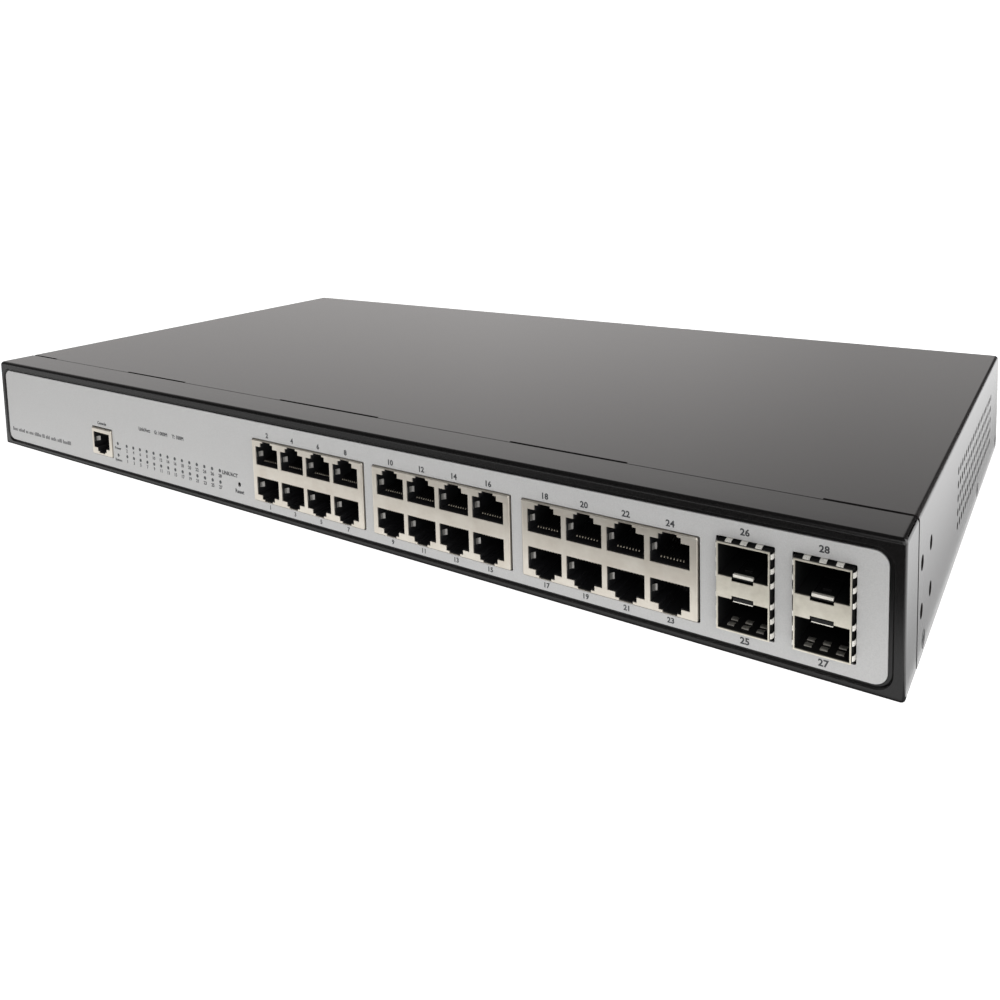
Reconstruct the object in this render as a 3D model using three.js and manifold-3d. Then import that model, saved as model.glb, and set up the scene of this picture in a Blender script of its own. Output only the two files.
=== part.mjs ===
// Rackmount network switch, 1U high: a folded steel case around one main board
// with three 2 x 4 blocks of modular jacks, two 2 x 1 SFP cages, a console jack,
// a matrix of indicator lights, a reset button and an internal mains supply.
// Millimetres. X runs along the front, Y from the front to the back, Z up.
// The origin is the middle of the footprint, at the underside.

import * as THREE from 'three';
import { mergeVertices } from 'three/addons/utils/BufferGeometryUtils.js';
import Module from 'manifold-3d';

const wasm = await Module();
wasm.setup();

// Case
const caseWidth = 440;
const caseHeight = 44;
const caseDepth = 240;              // front skin to the cover's rear lip
const cageProud = 2;                // how far the SFP cages stand out of the front skin
const jackProud = 0.5;              // how far the jack shields stand out of it
const sheet = 1;                    // thickness of the folded steel
const foldRadius = 1.6;             // outer radius of a fold
const paintGap = 0.3;               // air and paint between two sheets
const flangeDepth = 17;             // how far the front panel wraps back over the case
const traySideHeight = 13;
const lipDepth = 7.5;               // the cover's rear lip

const overallDepth = caseDepth + cageProud;
const halfWidth = caseWidth / 2;
const rearY = overallDepth / 2;
const cageFrontY = -rearY;
const frontY = cageFrontY + cageProud;
const seamY = frontY + flangeDepth; // where the front panel's flanges end
const coverFrontY = seamY + 0.4;
const wallY = rearY - sheet - paintGap;   // outer face of the tray's rear wall

// Silver plate, lying in a recess pressed into the front panel
const recess = { halfWidth: 217.2, low: 1.9, high: 40.8, radius: 5, depth: 1, skinGrow: 1.1 };
const plate = { halfWidth: 215.8, low: 3.1, high: 39.6, radius: 3.8, thickness: 0.6, setBack: 0.25 };
const plateFrontY = frontY + plate.setBack;
const plateBackY = plateFrontY + plate.thickness;
const recessFloorY = frontY + recess.depth;

// Jack blocks: two rows of four modular jacks behind one shield
const blockCentres = [5.35, 70.05, 134.75];
const block = { width: 59.9, height: 25.6, depth: 27, wall: 0.4 };
const blockMiddleZ = 19.65;
const columnPitch = 14.25;
const rowBand = 5;                  // metal between the two rows
const jack = { width: 12.5, height: 7.6, cavityDepth: 15 };
const notch = [{ width: 7.2, rise: 1.65 }, { width: 4.65, rise: 0.7 }];
const cutGap = 0.3;                 // gap around a shield in its cut-out

// Console jack
const consoleX = -131;
const consoleBox = { width: 15.4, low: 7.8, high: 20.7, depth: 21 };
const consoleTopMargin = 2;

// SFP cages, two ports high
const cageCentres = [178.35, 199.75];
const cage = { width: 15, low: 7.9, high: 33.6, backY: -70, wall: 0.4 };
const cageCut = { width: 16.7, low: 7, high: 34.5 };
const cageMiddleZ = (cage.low + cage.high) / 2;
const divider = { half: 3.15, notchDepth: 1 };
const latch = { half: 2.8, length: 13.6, lipHeight: 0.9, lipDepth: 1.1, clearance: 0.3 };

// Indicator lights and the reset hole
const lightColumns = 14;
const firstLightX = -112.1;
const lightPitch = 5.054;
const lightRows = [15, 10];
const statusX = -119;
const statusRows = [15.3, 9.7];
const lightHalf = 0.6;               // half the side of a light guide's square pin
const resetX = -34.4;
const resetZ = 11.2;

// Boards
const boardLow = 4.8;
const boardTop = 6.4;
const boardBackY = 30;
const boardLeftX = -150;
const boardRightX = 214;
const supplyBoard = { left: -212, right: -116, front: 34, back: 98 };
const standoff = { inset: 6, frontInset: 28, middleX: 37.7, hole: 1.7, foot: 3.4, top: 2.6 };
const boardGap = 0.15;              // under what stands on a board

// What stands on the boards
const chip = { x: 57.5, y: -26.5, half: 15.5, height: 2.4 };
const chipSink = { half: 21, top: 28, fins: 8, finWidth: 1.4, plate: 2.5 };
const magnetics = { half: 27, gap: 4, depth: 11, height: 6 };
const supplyTransformer = { x: -156, y: 72, top: 31 };
const mainCapacitor = { x: -194, y: 66 };
const supplySink = { back: -213.5, front: -207, from: 44, to: 88, top: 33 };
const insulator = { left: -214, right: -112.5, from: 32, to: 100, low: 1.2, top: 1.6, hole: 4.4 };

// Perforations, rack-ear holes and screws in the cover's sides
const vent = { columns: 21, rows: 5, firstY: 100, pitchY: 5.375, lowZ: 11.5, pitchZ: 4.92, half: 1.3 };
const earHoles = [[24.2, 28.5], [39.7, 28.5], [24.2, 14.5], [39.7, 14.5]];
const earRadius = 2.25;
const sideScrews = [28.5, 161, 233.5];
const sideScrewZ = 4.4;
const rearScrews = [-196, 0, 196];
const rearScrewZ = 40;
const screw = { head: 2.7, shank: 1.35, headHeight: 0.85, length: 4.4, clearance: 0.2 };
const coverTongues = [[-197, -134], [-90, -27], [28, 89], [134, 195]];
const tongue = { reach: 9, low: 41.65, sideGap: 1 };
const sideLow = 0.3;                // where the cover's sides end, over the floor

// Screws and lips that hold the front panel to the tray
const lipScrewX = [-150, -50, 50, 150];
const lipScrewInset = 6;
const lip = { half: 12, reach: 12, low: 1.35 };

// Mains inlet in the rear wall
const inletX = -164;
const inletZ = 20;
const inlet = { flangeHalf: 25, flangeHigh: 13.6, bodyHalf: 14, bodyHigh: 11, depth: 18, screwX: 20 };
const groundX = -118;
const groundZ = 12;

// ---- shapes -----------------------------------------------------------------------

function solidOf(geometry) {
  geometry.deleteAttribute('normal');
  geometry.deleteAttribute('uv');
  const merged = mergeVertices(geometry, 1e-4);
  const mesh = new wasm.Mesh({
    numProp: 3,
    vertProperties: new Float32Array(merged.attributes.position.array),
    triVerts: new Uint32Array(merged.index.array),
  });
  return new wasm.Manifold(mesh);
}

function box(x0, x1, y0, y1, z0, z1) {
  const geometry = new THREE.BoxGeometry(x1 - x0, y1 - y0, z1 - z0);
  geometry.translate((x0 + x1) / 2, (y0 + y1) / 2, (z0 + z1) / 2);
  return solidOf(geometry);
}

// A round bar along an axis; centre holds its other two coordinates in X, Y, Z order.
function rod(axis, centre, radius, from, to, sides = 12, endRadius = radius) {
  const geometry = new THREE.CylinderGeometry(endRadius, radius, to - from, sides);
  const middle = (from + to) / 2;
  if (axis === 'x') {
    geometry.rotateZ(-Math.PI / 2);
    geometry.translate(middle, centre[0], centre[1]);
  } else if (axis === 'y') {
    geometry.translate(centre[0], middle, centre[1]);
  } else {
    geometry.rotateX(Math.PI / 2);
    geometry.translate(centre[0], centre[1], middle);
  }
  return solidOf(geometry);
}

const axisX = new THREE.Vector3(1, 0, 0);
const axisY = new THREE.Vector3(0, 1, 0);
const axisZ = new THREE.Vector3(0, 0, 1);
const planes = {
  xz: new THREE.Matrix4().makeBasis(axisX, axisZ, axisY.clone().negate()),
  yz: new THREE.Matrix4().makeBasis(axisY, axisZ, axisX),
  xy: new THREE.Matrix4(),
};

// An outline drawn in one plane and extruded across it, between two coordinates.
function prism(plane, outline, from, to, arcSteps = 2) {
  const options = { depth: to - from, bevelEnabled: false, curveSegments: arcSteps };
  const geometry = new THREE.ExtrudeGeometry(outline, options);
  geometry.applyMatrix4(planes[plane]);
  const shift = { xz: [0, to, 0], yz: [from, 0, 0], xy: [0, 0, from] }[plane];
  geometry.translate(...shift);
  return solidOf(geometry);
}

function polygon(points) {
  return new THREE.Shape(points.map(([u, v]) => new THREE.Vector2(u, v)));
}

// A rectangle whose corners may be rounded, in the order low left, low right, high right, high left.
function rounded(u0, u1, v0, v1, radii) {
  const corners = [[u0, v0, 1, 1], [u1, v0, -1, 1], [u1, v1, -1, -1], [u0, v1, 1, -1]];
  const outline = new THREE.Shape();
  corners.forEach(([u, v, inU, inV], index) => {
    const radius = radii[index];
    const start = Math.PI * (1 + index / 2);
    const centre = [u + inU * radius, v + inV * radius];
    const first = [centre[0] + radius * Math.cos(start), centre[1] + radius * Math.sin(start)];
    if (index === 0) {
      outline.moveTo(...first);
    } else {
      outline.lineTo(...first);
    }
    if (radius > 0) {
      outline.absarc(...centre, radius, start, start + Math.PI / 2);
    }
  });
  return outline;
}

function roundedAll(u0, u1, v0, v1, radius) {
  return rounded(u0, u1, v0, v1, [radius, radius, radius, radius]);
}

// The union of any number of solids, taken two by two.
function joined(...solids) {
  let left = solids.flat();
  while (left.length > 1) {
    const pairs = range(Math.ceil(left.length / 2)).map((index) => left.slice(2 * index, 2 * index + 2));
    left = pairs.map(([first, second]) => (second ? first.add(second) : first));
  }
  return left[0];
}

function cutFrom(solid, ...cutters) {
  return solid.subtract(joined(...cutters));
}

function range(count) {
  return Array.from({ length: count }, (_, index) => index);
}

// ---- materials ---------------------------------------------------------------------

function finish(colour, roughness, metalness) {
  return () => new THREE.MeshStandardMaterial({ color: colour, roughness, metalness });
}

const charcoalCoat = finish('#3a393c', 0.5, 0.2);
const blackCoat = finish('#242426', 0.45, 0.2);
const silverFilm = finish('#c4c5c8', 0.38, 0.6);
const nickel = finish('#d8cfc0', 0.3, 0.9);
const cageSteel = finish('#cfc9b8', 0.32, 0.9);
const blackPlastic = finish('#101012', 0.5, 0);
const zinc = finish('#b9bcc0', 0.35, 0.9);
const blackScrew = finish('#1c1c1e', 0.4, 0.6);
const boardGreen = finish('#1f5c3a', 0.55, 0);
const clearPlastic = finish('#d9dde0', 0.15, 0);
const finAluminium = finish('#9da1a6', 0.4, 0.9);
const tape = finish('#c9a23a', 0.5, 0);
const sleeve = finish('#1d2b52', 0.35, 0);
const wire = finish('#8c1f1c', 0.5, 0);
const buttonPlastic = finish('#2a2a2c', 0.5, 0);

const root = new THREE.Group();

function place(name, solid, material) {
  const found = solid.getMesh();
  const geometry = new THREE.BufferGeometry();
  geometry.setAttribute('position', new THREE.BufferAttribute(found.vertProperties, found.numProp));
  geometry.setIndex(new THREE.BufferAttribute(found.triVerts, 1));
  const faceted = geometry.toNonIndexed();
  faceted.computeVertexNormals();
  const mesh = new THREE.Mesh(faceted, material());
  mesh.name = name;
  root.add(mesh);
}

// ---- case ---------------------------------------------------------------------------

// A flush countersunk screw along an axis; out is the sign of the way its head faces.
function flushScrew(axis, centre, headFace, out) {
  const cone = [headFace - out * screw.headHeight, headFace].sort((a, b) => a - b);
  const radii = out > 0 ? [screw.shank, screw.head] : [screw.head, screw.shank];
  const shank = [headFace - out * screw.length, headFace - out * 0.4].sort((a, b) => a - b);
  const socket = [headFace - out * 0.5, headFace + out * 0.1].sort((a, b) => a - b);
  return cutFrom(
    joined(
      rod(axis, centre, radii[0], cone[0], cone[1], 12, radii[1]),
      rod(axis, centre, screw.shank, shank[0], shank[1], 8),
    ),
    rod(axis, centre, 0.9, socket[0], socket[1], 4),
  );
}

// The hole that such a screw sits in: a cone through the outer sheet, then a round hole.
function screwHole(axis, centre, face, out) {
  const wide = screw.head + screw.clearance;
  const narrow = screw.shank + screw.clearance;
  const cone = [face - out * 0.9, face + out * 0.02].sort((a, b) => a - b);
  const radii = out > 0 ? [narrow, wide] : [wide, narrow];
  const through = [face - out * 3.2, face].sort((a, b) => a - b);
  return joined(
    rod(axis, centre, radii[0], cone[0], cone[1], 12, radii[1]),
    rod(axis, centre, narrow, through[0], through[1], 8),
  );
}

function sideScrewPlaces() {
  return sideScrews.map((fromFront) => [frontY + fromFront, sideScrewZ]);
}

function lightPlaces() {
  const matrix = lightRows.flatMap((z) => range(lightColumns).map((i) => [firstLightX + i * lightPitch, z]));
  return [...matrix, ...statusRows.map((z) => [statusX, z])];
}

// Every opening through the front, widened by extra all round.
function frontOpenings(from, to, extra, resetHole) {
  const half = block.width / 2 + cutGap + extra;
  const high = block.height / 2 + cutGap + extra;
  const jackCuts = blockCentres.map((x) =>
    box(x - half, x + half, from, to, blockMiddleZ - high, blockMiddleZ + high));
  const side = consoleBox.width / 2 + cutGap + extra;
  const low = consoleBox.low - cutGap - extra;
  const consoleCut = box(consoleX - side, consoleX + side, from, to, low, consoleBox.high + cutGap + extra);
  const cageHalf = cageCut.width / 2 + extra;
  const cageCuts = cageCentres.map((x) =>
    box(x - cageHalf, x + cageHalf, from, to, cageCut.low - extra, cageCut.high + extra));
  const reset = rod('y', [resetX, resetZ], resetHole, from, to, 10);
  return joined(jackCuts, consoleCut, cageCuts, reset);
}

// The box of the front panel inside or outside its skin.
function panelBlank(inset, backY) {
  const radius = foldRadius - inset;
  const front = frontY + inset;
  const side = rounded(front, backY, inset, caseHeight - inset, [radius, 0, 0, radius]);
  const reach = halfWidth - inset;
  const top = rounded(-reach, reach, front, backY, [radius, radius, 0, 0]);
  return prism('yz', side, -reach, reach).intersect(prism('xy', top, inset, caseHeight - inset));
}

function frontPanel() {
  const shell = panelBlank(0, seamY).subtract(panelBlank(sheet, seamY + 5));
  const grow = recess.skinGrow;
  const pressed = prism('xz', roundedAll(
    -recess.halfWidth + 0.1, recess.halfWidth - 0.1,
    recess.low - grow, recess.high + grow, recess.radius,
  ), frontY + 0.3, recessFloorY + sheet);
  const pocket = prism('xz', roundedAll(
    -recess.halfWidth, recess.halfWidth, recess.low, recess.high, recess.radius,
  ), frontY - 1, recessFloorY);
  const cornerSlits = [-1, 1].flatMap((side) => [0, caseHeight].map((z) => {
    const inner = side * (halfWidth - sheet - 0.7);
    const outer = side * (halfWidth + 1);
    const xs = [inner, outer].sort((a, b) => a - b);
    const zs = z === 0 ? [-1, sheet + 0.7] : [caseHeight - sheet - 0.7, caseHeight + 1];
    return box(xs[0], xs[1], frontY + foldRadius + 1.2, seamY + 1, zs[0], zs[1]);
  }));
  const lipHoles = lipScrewPlaces().map(([x, y]) => rod('z', [x, y], 1.6, -1, sheet + 1, 10));
  const backY = recessFloorY + sheet + 1;
  const reach = lightHalf + 0.25;
  const lightHoles = lightPlaces().map(([x, z]) =>
    box(x - reach, x + reach, frontY - 1, backY, z - reach, z + reach));
  return cutFrom(
    joined(shell, pressed),
    pocket,
    frontOpenings(frontY - 1, backY, 0.1, 1.2),
    lightHoles,
    cornerSlits,
    lipHoles,
  );
}

function frontPlate() {
  const film = prism('xz', roundedAll(
    -plate.halfWidth, plate.halfWidth, plate.low, plate.high, plate.radius,
  ), plateFrontY, plateBackY, 3);
  return film.subtract(frontOpenings(plateFrontY - 1, plateBackY + 1, 0, 1));
}

function baseTray() {
  const reach = halfWidth - sheet - paintGap;
  const frontEdge = coverFrontY;
  const profile = (inset, front, top) => rounded(
    front, wallY - inset, inset, top, [0, foldRadius - inset, 0, 0],
  );
  const outer = prism('yz', profile(0, frontEdge, caseHeight - sheet - paintGap), -reach, reach);
  const inner = prism('yz', profile(sheet, frontEdge - 5, caseHeight), -reach + sheet, reach - sheet);
  const sideTrim = box(-halfWidth, halfWidth, frontEdge - 1, wallY - sheet - 0.5, traySideHeight, caseHeight);
  const shell = outer.subtract(inner).subtract(sideTrim);
  const lips = lipScrewX.map((x) => prism('yz', polygon([
    [seamY - lip.reach, lip.low], [seamY - 0.3, lip.low], [coverFrontY + 0.6, 0.1],
    [coverFrontY + 2, 0.1], [coverFrontY + 2, sheet], [coverFrontY + 1.2, sheet],
    [seamY + 0.2, lip.low + sheet], [seamY - lip.reach, lip.low + sheet],
  ]), x - lip.half, x + lip.half));
  const posts = standoffPlaces().map(([x, y]) =>
    rod('z', [x, y], standoff.foot, sheet - 0.2, boardLow - 0.2, 8, standoff.top));
  const inletHalf = inlet.bodyHalf + 0.4;
  const inletHigh = inlet.bodyHigh + 0.4;
  const wall = [wallY - sheet - 1, wallY + 1];
  const cuts = [
    ...[-1, 1].flatMap((side) => sideScrewPlaces().map((centre) => {
      const from = side > 0 ? halfWidth - 4 : -halfWidth - 1;
      return rod('x', centre, screw.shank + screw.clearance, from, from + 5, 12);
    })),
    ...rearScrews.map((x) => rod('y', [x, rearScrewZ], screw.shank + screw.clearance, ...wall, 12)),
    box(inletX - inletHalf, inletX + inletHalf, ...wall, inletZ - inletHigh, inletZ + inletHigh),
    ...[-1, 1].map((side) => rod('y', [inletX + side * inlet.screwX, inletZ], 1.75, ...wall, 12)),
    rod('y', [groundX, groundZ], 2.2, ...wall, 12),
    ...lipScrewPlaces().map(([x, y]) => rod('z', [x, y], 1.2, 0, 3, 10)),
  ];
  return cutFrom(joined(shell, lips, posts), cuts);
}

function lipScrewPlaces() {
  return lipScrewX.map((x) => [x, seamY - lipScrewInset]);
}

function mainStandoffs() {
  const { inset, frontInset, middleX } = standoff;
  return [
    [boardLeftX + inset, boardBackY - inset], [boardLeftX + inset, frontY + frontInset],
    [middleX, boardBackY - inset], [boardRightX - inset, boardBackY - inset],
  ];
}

function supplyStandoffs() {
  const { left, right, front, back } = supplyBoard;
  const { inset } = standoff;
  return [
    [left + inset, front + inset], [right - inset, front + inset],
    [left + inset, back - inset], [right - inset, back - inset],
  ];
}

function standoffPlaces() {
  return [...mainStandoffs(), ...supplyStandoffs()];
}

function sidePerforations(side) {
  const from = side > 0 ? halfWidth - sheet - 1 : -halfWidth - 1;
  const to = from + sheet + 2;
  const holes = range(vent.rows).flatMap((row) => range(vent.columns).map((column) => {
    const y = frontY + vent.firstY + column * vent.pitchY;
    const z = vent.lowZ + row * vent.pitchZ;
    return box(from, to, y - vent.half, y + vent.half, z - vent.half, z + vent.half);
  }));
  const ears = earHoles.map(([y, z]) => rod('x', [frontY + y, z], earRadius, from, to, 14));
  return [...holes, ...ears];
}

function topCover() {
  const folded = (inset) => rounded(
    -halfWidth + inset, halfWidth - inset, inset > 0 ? sideLow - 5 : sideLow, caseHeight - inset,
    [0, 0, foldRadius - inset, foldRadius - inset],
  );
  const outer = prism('xz', folded(0), coverFrontY, rearY, 3);
  const inner = prism('xz', folded(sheet), coverFrontY - 5, rearY - sheet, 3);
  const belowLip = box(
    -halfWidth + sheet, halfWidth - sheet, rearY - sheet - 1, rearY + 1, -5, caseHeight - lipDepth,
  );
  const tongues = coverTongues.map(([x0, x1]) => prism('yz', polygon([
    [seamY - tongue.reach, tongue.low], [coverFrontY, tongue.low], [coverFrontY + 1.6, tongue.low + 1.45],
    [coverFrontY + 1.6, tongue.low + 2.25], [coverFrontY + 0.7, tongue.low + 2.25],
    [seamY + 0.1, tongue.low + sheet], [seamY - tongue.reach, tongue.low + sheet],
  ]), x0 + tongue.sideGap, x1 - tongue.sideGap));
  const cuts = [
    ...[-1, 1].flatMap((side) => sidePerforations(side)),
    ...[-1, 1].flatMap((side) => sideScrewPlaces().map((at) => screwHole('x', at, side * halfWidth, side))),
    ...rearScrews.map((x) => screwHole('y', [x, rearScrewZ], rearY, 1)),
  ];
  return cutFrom(joined(outer.subtract(inner).subtract(belowLip), tongues), cuts);
}

// ---- jacks --------------------------------------------------------------------------

// The stepped outline of one jack; up is 1 where the latch notch is at the top.
function jackOutline(x, flatZ, up, inset) {
  const steps = [[jack.width / 2 - inset, flatZ + up * (jack.height - inset)]];
  let top = flatZ + up * (jack.height - inset);
  const right = [[jack.width / 2 - inset, flatZ + up * inset], ...steps];
  for (const step of notch) {
    right.push([step.width / 2 - inset, top]);
    top += up * step.rise;
    right.push([step.width / 2 - inset, top]);
  }
  const left = right.map(([u, v]) => [-u, v]).reverse();
  return polygon([...right, ...left].map(([u, v]) => [x + u, v]));
}

function jackPlaces(centre) {
  return range(4).flatMap((column) => [1, -1].map((up) => ({
    x: centre + (column - 1.5) * columnPitch,
    flatZ: blockMiddleZ + up * rowBand / 2,
    up,
  })));
}

const jackFrontY = frontY - jackProud;

function jackShield(x0, x1, z0, z1, depth, jacks) {
  const backY = jackFrontY + depth;
  const wall = block.wall;
  const outer = prism('xz', roundedAll(x0, x1, z0, z1, 0.5), jackFrontY, backY, 1);
  const inner = box(x0 + wall, x1 - wall, jackFrontY + wall, backY - wall, z0 - 1, z1 - wall);
  const frontLip = box(x0 + wall, x1 - wall, jackFrontY, jackFrontY + wall, z0, z0 + wall);
  const windows = jacks.map(({ x, flatZ, up }) =>
    prism('xz', jackOutline(x, flatZ, up, 0), jackFrontY - 1, jackFrontY + wall + 0.2));
  return cutFrom(joined(outer.subtract(inner), frontLip), windows);
}

function jackHousing(x0, x1, z0, z1, depth, jacks) {
  const gap = block.wall + 0.2;
  const front = jackFrontY + gap;
  const body = box(x0 + gap, x1 - gap, front, jackFrontY + depth - gap, z0 + 0.2, z1 - gap);
  const cavities = jacks.map(({ x, flatZ, up }) =>
    prism('xz', jackOutline(x, flatZ, up, 0.2), front - 1, front + jack.cavityDepth));
  return cutFrom(body, cavities);
}

function addJackBlocks() {
  blockCentres.forEach((centre, index) => {
    const bounds = [
      centre - block.width / 2, centre + block.width / 2,
      blockMiddleZ - block.height / 2, blockMiddleZ + block.height / 2, block.depth,
    ];
    const jacks = jackPlaces(centre);
    place(`port_shield_${index + 1}`, jackShield(...bounds, jacks), nickel);
    place(`port_housing_${index + 1}`, jackHousing(...bounds, jacks), blackPlastic);
  });
  const jacks = [{ x: consoleX, flatZ: consoleBox.high - consoleTopMargin, up: -1 }];
  const half = consoleBox.width / 2;
  const bounds = [consoleX - half, consoleX + half, consoleBox.low, consoleBox.high, consoleBox.depth];
  place('console_shield', jackShield(...bounds, jacks), nickel);
  place('console_housing', jackHousing(...bounds, jacks), blackPlastic);
}

// ---- SFP cages ----------------------------------------------------------------------

const latchPivotY = cageFrontY + latch.length;
const connector = { half: 5.8, frontY: -87, backY: -72, high: 31 };

function sfpCage(x) {
  const half = cage.width / 2;
  const wall = cage.wall;
  const dividerLow = cageMiddleZ - divider.half;
  const dividerHigh = cageMiddleZ + divider.half;
  const inside = [x - half + wall, x + half - wall];
  const outer = box(x - half, x + half, cageFrontY, cage.backY, cage.low, cage.high);
  const portEnd = cage.backY - wall;
  const lower = box(...inside, cageFrontY - 1, portEnd, cage.low + wall, dividerLow);
  const upper = box(...inside, cageFrontY - 1, portEnd, dividerHigh, cage.high - wall);
  const hollow = box(...inside, cageFrontY + wall, cage.backY + 1, dividerLow + wall, dividerHigh - wall);
  const room = 0.4;
  const plug = box(
    x - connector.half - room, x + connector.half + room,
    connector.frontY - room, connector.backY + room, cage.low - 1, connector.high + room,
  );
  const slotHalf = latch.half + latch.clearance;
  const slotBack = latchPivotY + latch.clearance;
  const slots = [1, -1].map((up) => {
    const edge = cageMiddleZ + up * divider.half;
    const zs = [edge + up * 0.3, edge - up * divider.notchDepth].sort((a, b) => a - b);
    return box(x - slotHalf, x + slotHalf, cageFrontY - 1, slotBack, zs[0], zs[1]);
  });
  const sideWindows = [1, -1].map((up) => {
    const middle = cageMiddleZ + up * (cage.high - cageMiddleZ + divider.half) / 2;
    return box(x - half - 1, x + half + 1, -104, -96, middle - 1.6, middle + 1.6);
  });
  return cutFrom(outer, lower, upper, hollow, plug, slots, sideWindows);
}

// One latch tongue: a spring strip on the divider with a raised lip at the front.
function sfpLatch(x, up) {
  const edge = cageMiddleZ + up * divider.half;
  const strip = [edge - up * cage.wall, edge].sort((a, b) => a - b);
  const lip = [edge - up * 0.1, edge + up * latch.lipHeight].sort((a, b) => a - b);
  const front = cageFrontY + cage.wall + 0.15;
  const catchZ = [edge - up * 0.1, edge + up * 0.6].sort((a, b) => a - b);
  return joined(
    box(x - latch.half, x + latch.half, front, latchPivotY, ...strip),
    box(x - latch.half, x + latch.half, front, front + latch.lipDepth, ...lip),
    box(x - 1.1, x + 1.1, front + 5, front + 7, ...catchZ),
  );
}

// One side of the gasket's outline: a straight edge with a raised pad at each finger.
function fingerEdge(start, end, fingers, half, out) {
  const along = Math.sign(end - start);
  const raised = fingers.flatMap((middle) => [
    [middle - along * half, gasket.outer], [middle - along * half, gasket.pad],
    [middle + along * half, gasket.pad], [middle + along * half, gasket.outer],
  ]);
  return [[start, gasket.outer], ...raised].map(([at, lift]) => [at, out * lift]);
}

const gasket = { inner: 0.12, outer: 0.36, pad: 0.62, depth: 9 };
const topFingers = [-4.3, 0, 4.3];
const sideFingers = [-11.4, -7.2, -3, 3, 7.2, 11.4];

// The spring gasket around a cage: a ring whose fingers press on the cut-out's edge.
function sfpGasket(x) {
  const half = cage.width / 2;
  const high = (cage.high - cage.low) / 2;
  const edge = gasket.outer;
  const bottom = fingerEdge(-half - edge, half + edge, topFingers, 0.9, -1).map(([u, v]) => [u, v - high]);
  const right = fingerEdge(-high - edge, high + edge, sideFingers, 0.8, 1).map(([v, u]) => [u + half, v]);
  const top = bottom.map(([u, v]) => [-u, -v]);
  const left = right.map(([u, v]) => [-u, -v]);
  const outline = polygon([...bottom, ...right, ...top, ...left].map(([u, v]) => [x + u, cageMiddleZ + v]));
  const front = frontY - 0.2;
  const through = box(
    x - half - gasket.inner, x + half + gasket.inner, front - 1, front + gasket.depth + 1,
    cage.low - gasket.inner, cage.high + gasket.inner,
  );
  return prism('xz', outline, front, front + gasket.depth).subtract(through);
}

function hostConnector(x) {
  const body = box(
    x - connector.half, x + connector.half, connector.frontY, connector.backY, boardTop + boardGap, connector.high,
  );
  const slots = [1, -1].map((up) => {
    const z = cageMiddleZ + up * 8;
    return box(x - 4.6, x + 4.6, connector.frontY - 1, connector.frontY + 6, z - 0.75, z + 0.75);
  });
  return cutFrom(body, slots);
}

function addCages() {
  cageCentres.forEach((x, index) => {
    const tag = index + 1;
    place(`sfp_cage_${tag}`, sfpCage(x), cageSteel);
    place(`sfp_gasket_${tag}`, sfpGasket(x), nickel);
    place(`sfp_connector_${tag}`, hostConnector(x), blackPlastic);
    place(`sfp_latch_upper_${tag}`, sfpLatch(x, 1), cageSteel);
    place(`sfp_latch_lower_${tag}`, sfpLatch(x, -1), cageSteel);
  });
}

// ---- lights and reset ----------------------------------------------------------------

function lightGuide() {
  const lastX = firstLightX + (lightColumns - 1) * lightPitch;
  const barFront = recessFloorY + sheet + 2.5;
  const pins = lightPlaces().map(([x, z]) => box(
    x - lightHalf, x + lightHalf, plateBackY + 0.2, barFront + 0.5, z - lightHalf, z + lightHalf,
  ));
  const bars = lightRows.map((z) =>
    box(statusX - 1.5, lastX + 1.5, barFront, barFront + 2, z - 1.3, z + 1.3));
  const ties = [statusX, (statusX + lastX) / 2, lastX].map((x) =>
    box(x - 1.5, x + 1.5, barFront, barFront + 2, boardTop + boardGap, lightRows[0]));
  return joined(pins, bars, ties);
}

const button = { radius: 1.5, frontY: recessFloorY + sheet + 1.6, travel: 0.35 };

function resetSwitchBody() {
  const front = button.frontY + 3;
  const body = box(resetX - 3.1, resetX + 3.1, front, front + 4.2, boardTop + boardGap, resetZ + 3.1);
  return body.subtract(rod('y', [resetX, resetZ], button.radius + 0.12, front - 1, front + 2.8, 14));
}

function resetPlunger() {
  return rod('y', [resetX, resetZ], button.radius, button.frontY, button.frontY + 5.1, 14);
}

// ---- boards and what stands on them ----------------------------------------------------

function mainBoard() {
  const y0 = recessFloorY + sheet + 1;
  const sheetBody = box(boardLeftX, boardRightX, y0, boardBackY, boardLow, boardTop);
  const clear = box(boardLeftX - 1, boardLeftX + 4, y0 - 1, y0 + 5, 0, 20);
  const holes = mainStandoffs().map(([x, y]) => rod('z', [x, y], standoff.hole, 0, 20, 8));
  return cutFrom(sheetBody, clear, holes);
}

function supplyBoardSolid() {
  const { left, right, front, back } = supplyBoard;
  const body = box(left, right, front, back, boardLow, boardTop);
  const holes = supplyStandoffs().map(([x, y]) => rod('z', [x, y], standoff.hole, 0, 20, 8));
  return cutFrom(body, holes);
}

function boardScrew(x, y) {
  const top = boardTop + boardGap;
  return joined(
    rod('z', [x, y], 2.7, top, top + 1.6, 12, 2.3),
    rod('z', [x, y], 1.4, boardLow - 0.1, top + 0.5, 12),
  );
}

function finnedSink(x, y, base) {
  const { half, top, fins, finWidth } = chipSink;
  const body = box(x - half, x + half, y - half, y + half, base, base + chipSink.plate);
  const step = (2 * half - finWidth) / (fins - 1);
  const blades = range(fins).map((index) => {
    const left = x - half + index * step;
    return box(left, left + finWidth, y - half, y + half, base + 2, top);
  });
  return joined(body, blades);
}

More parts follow.
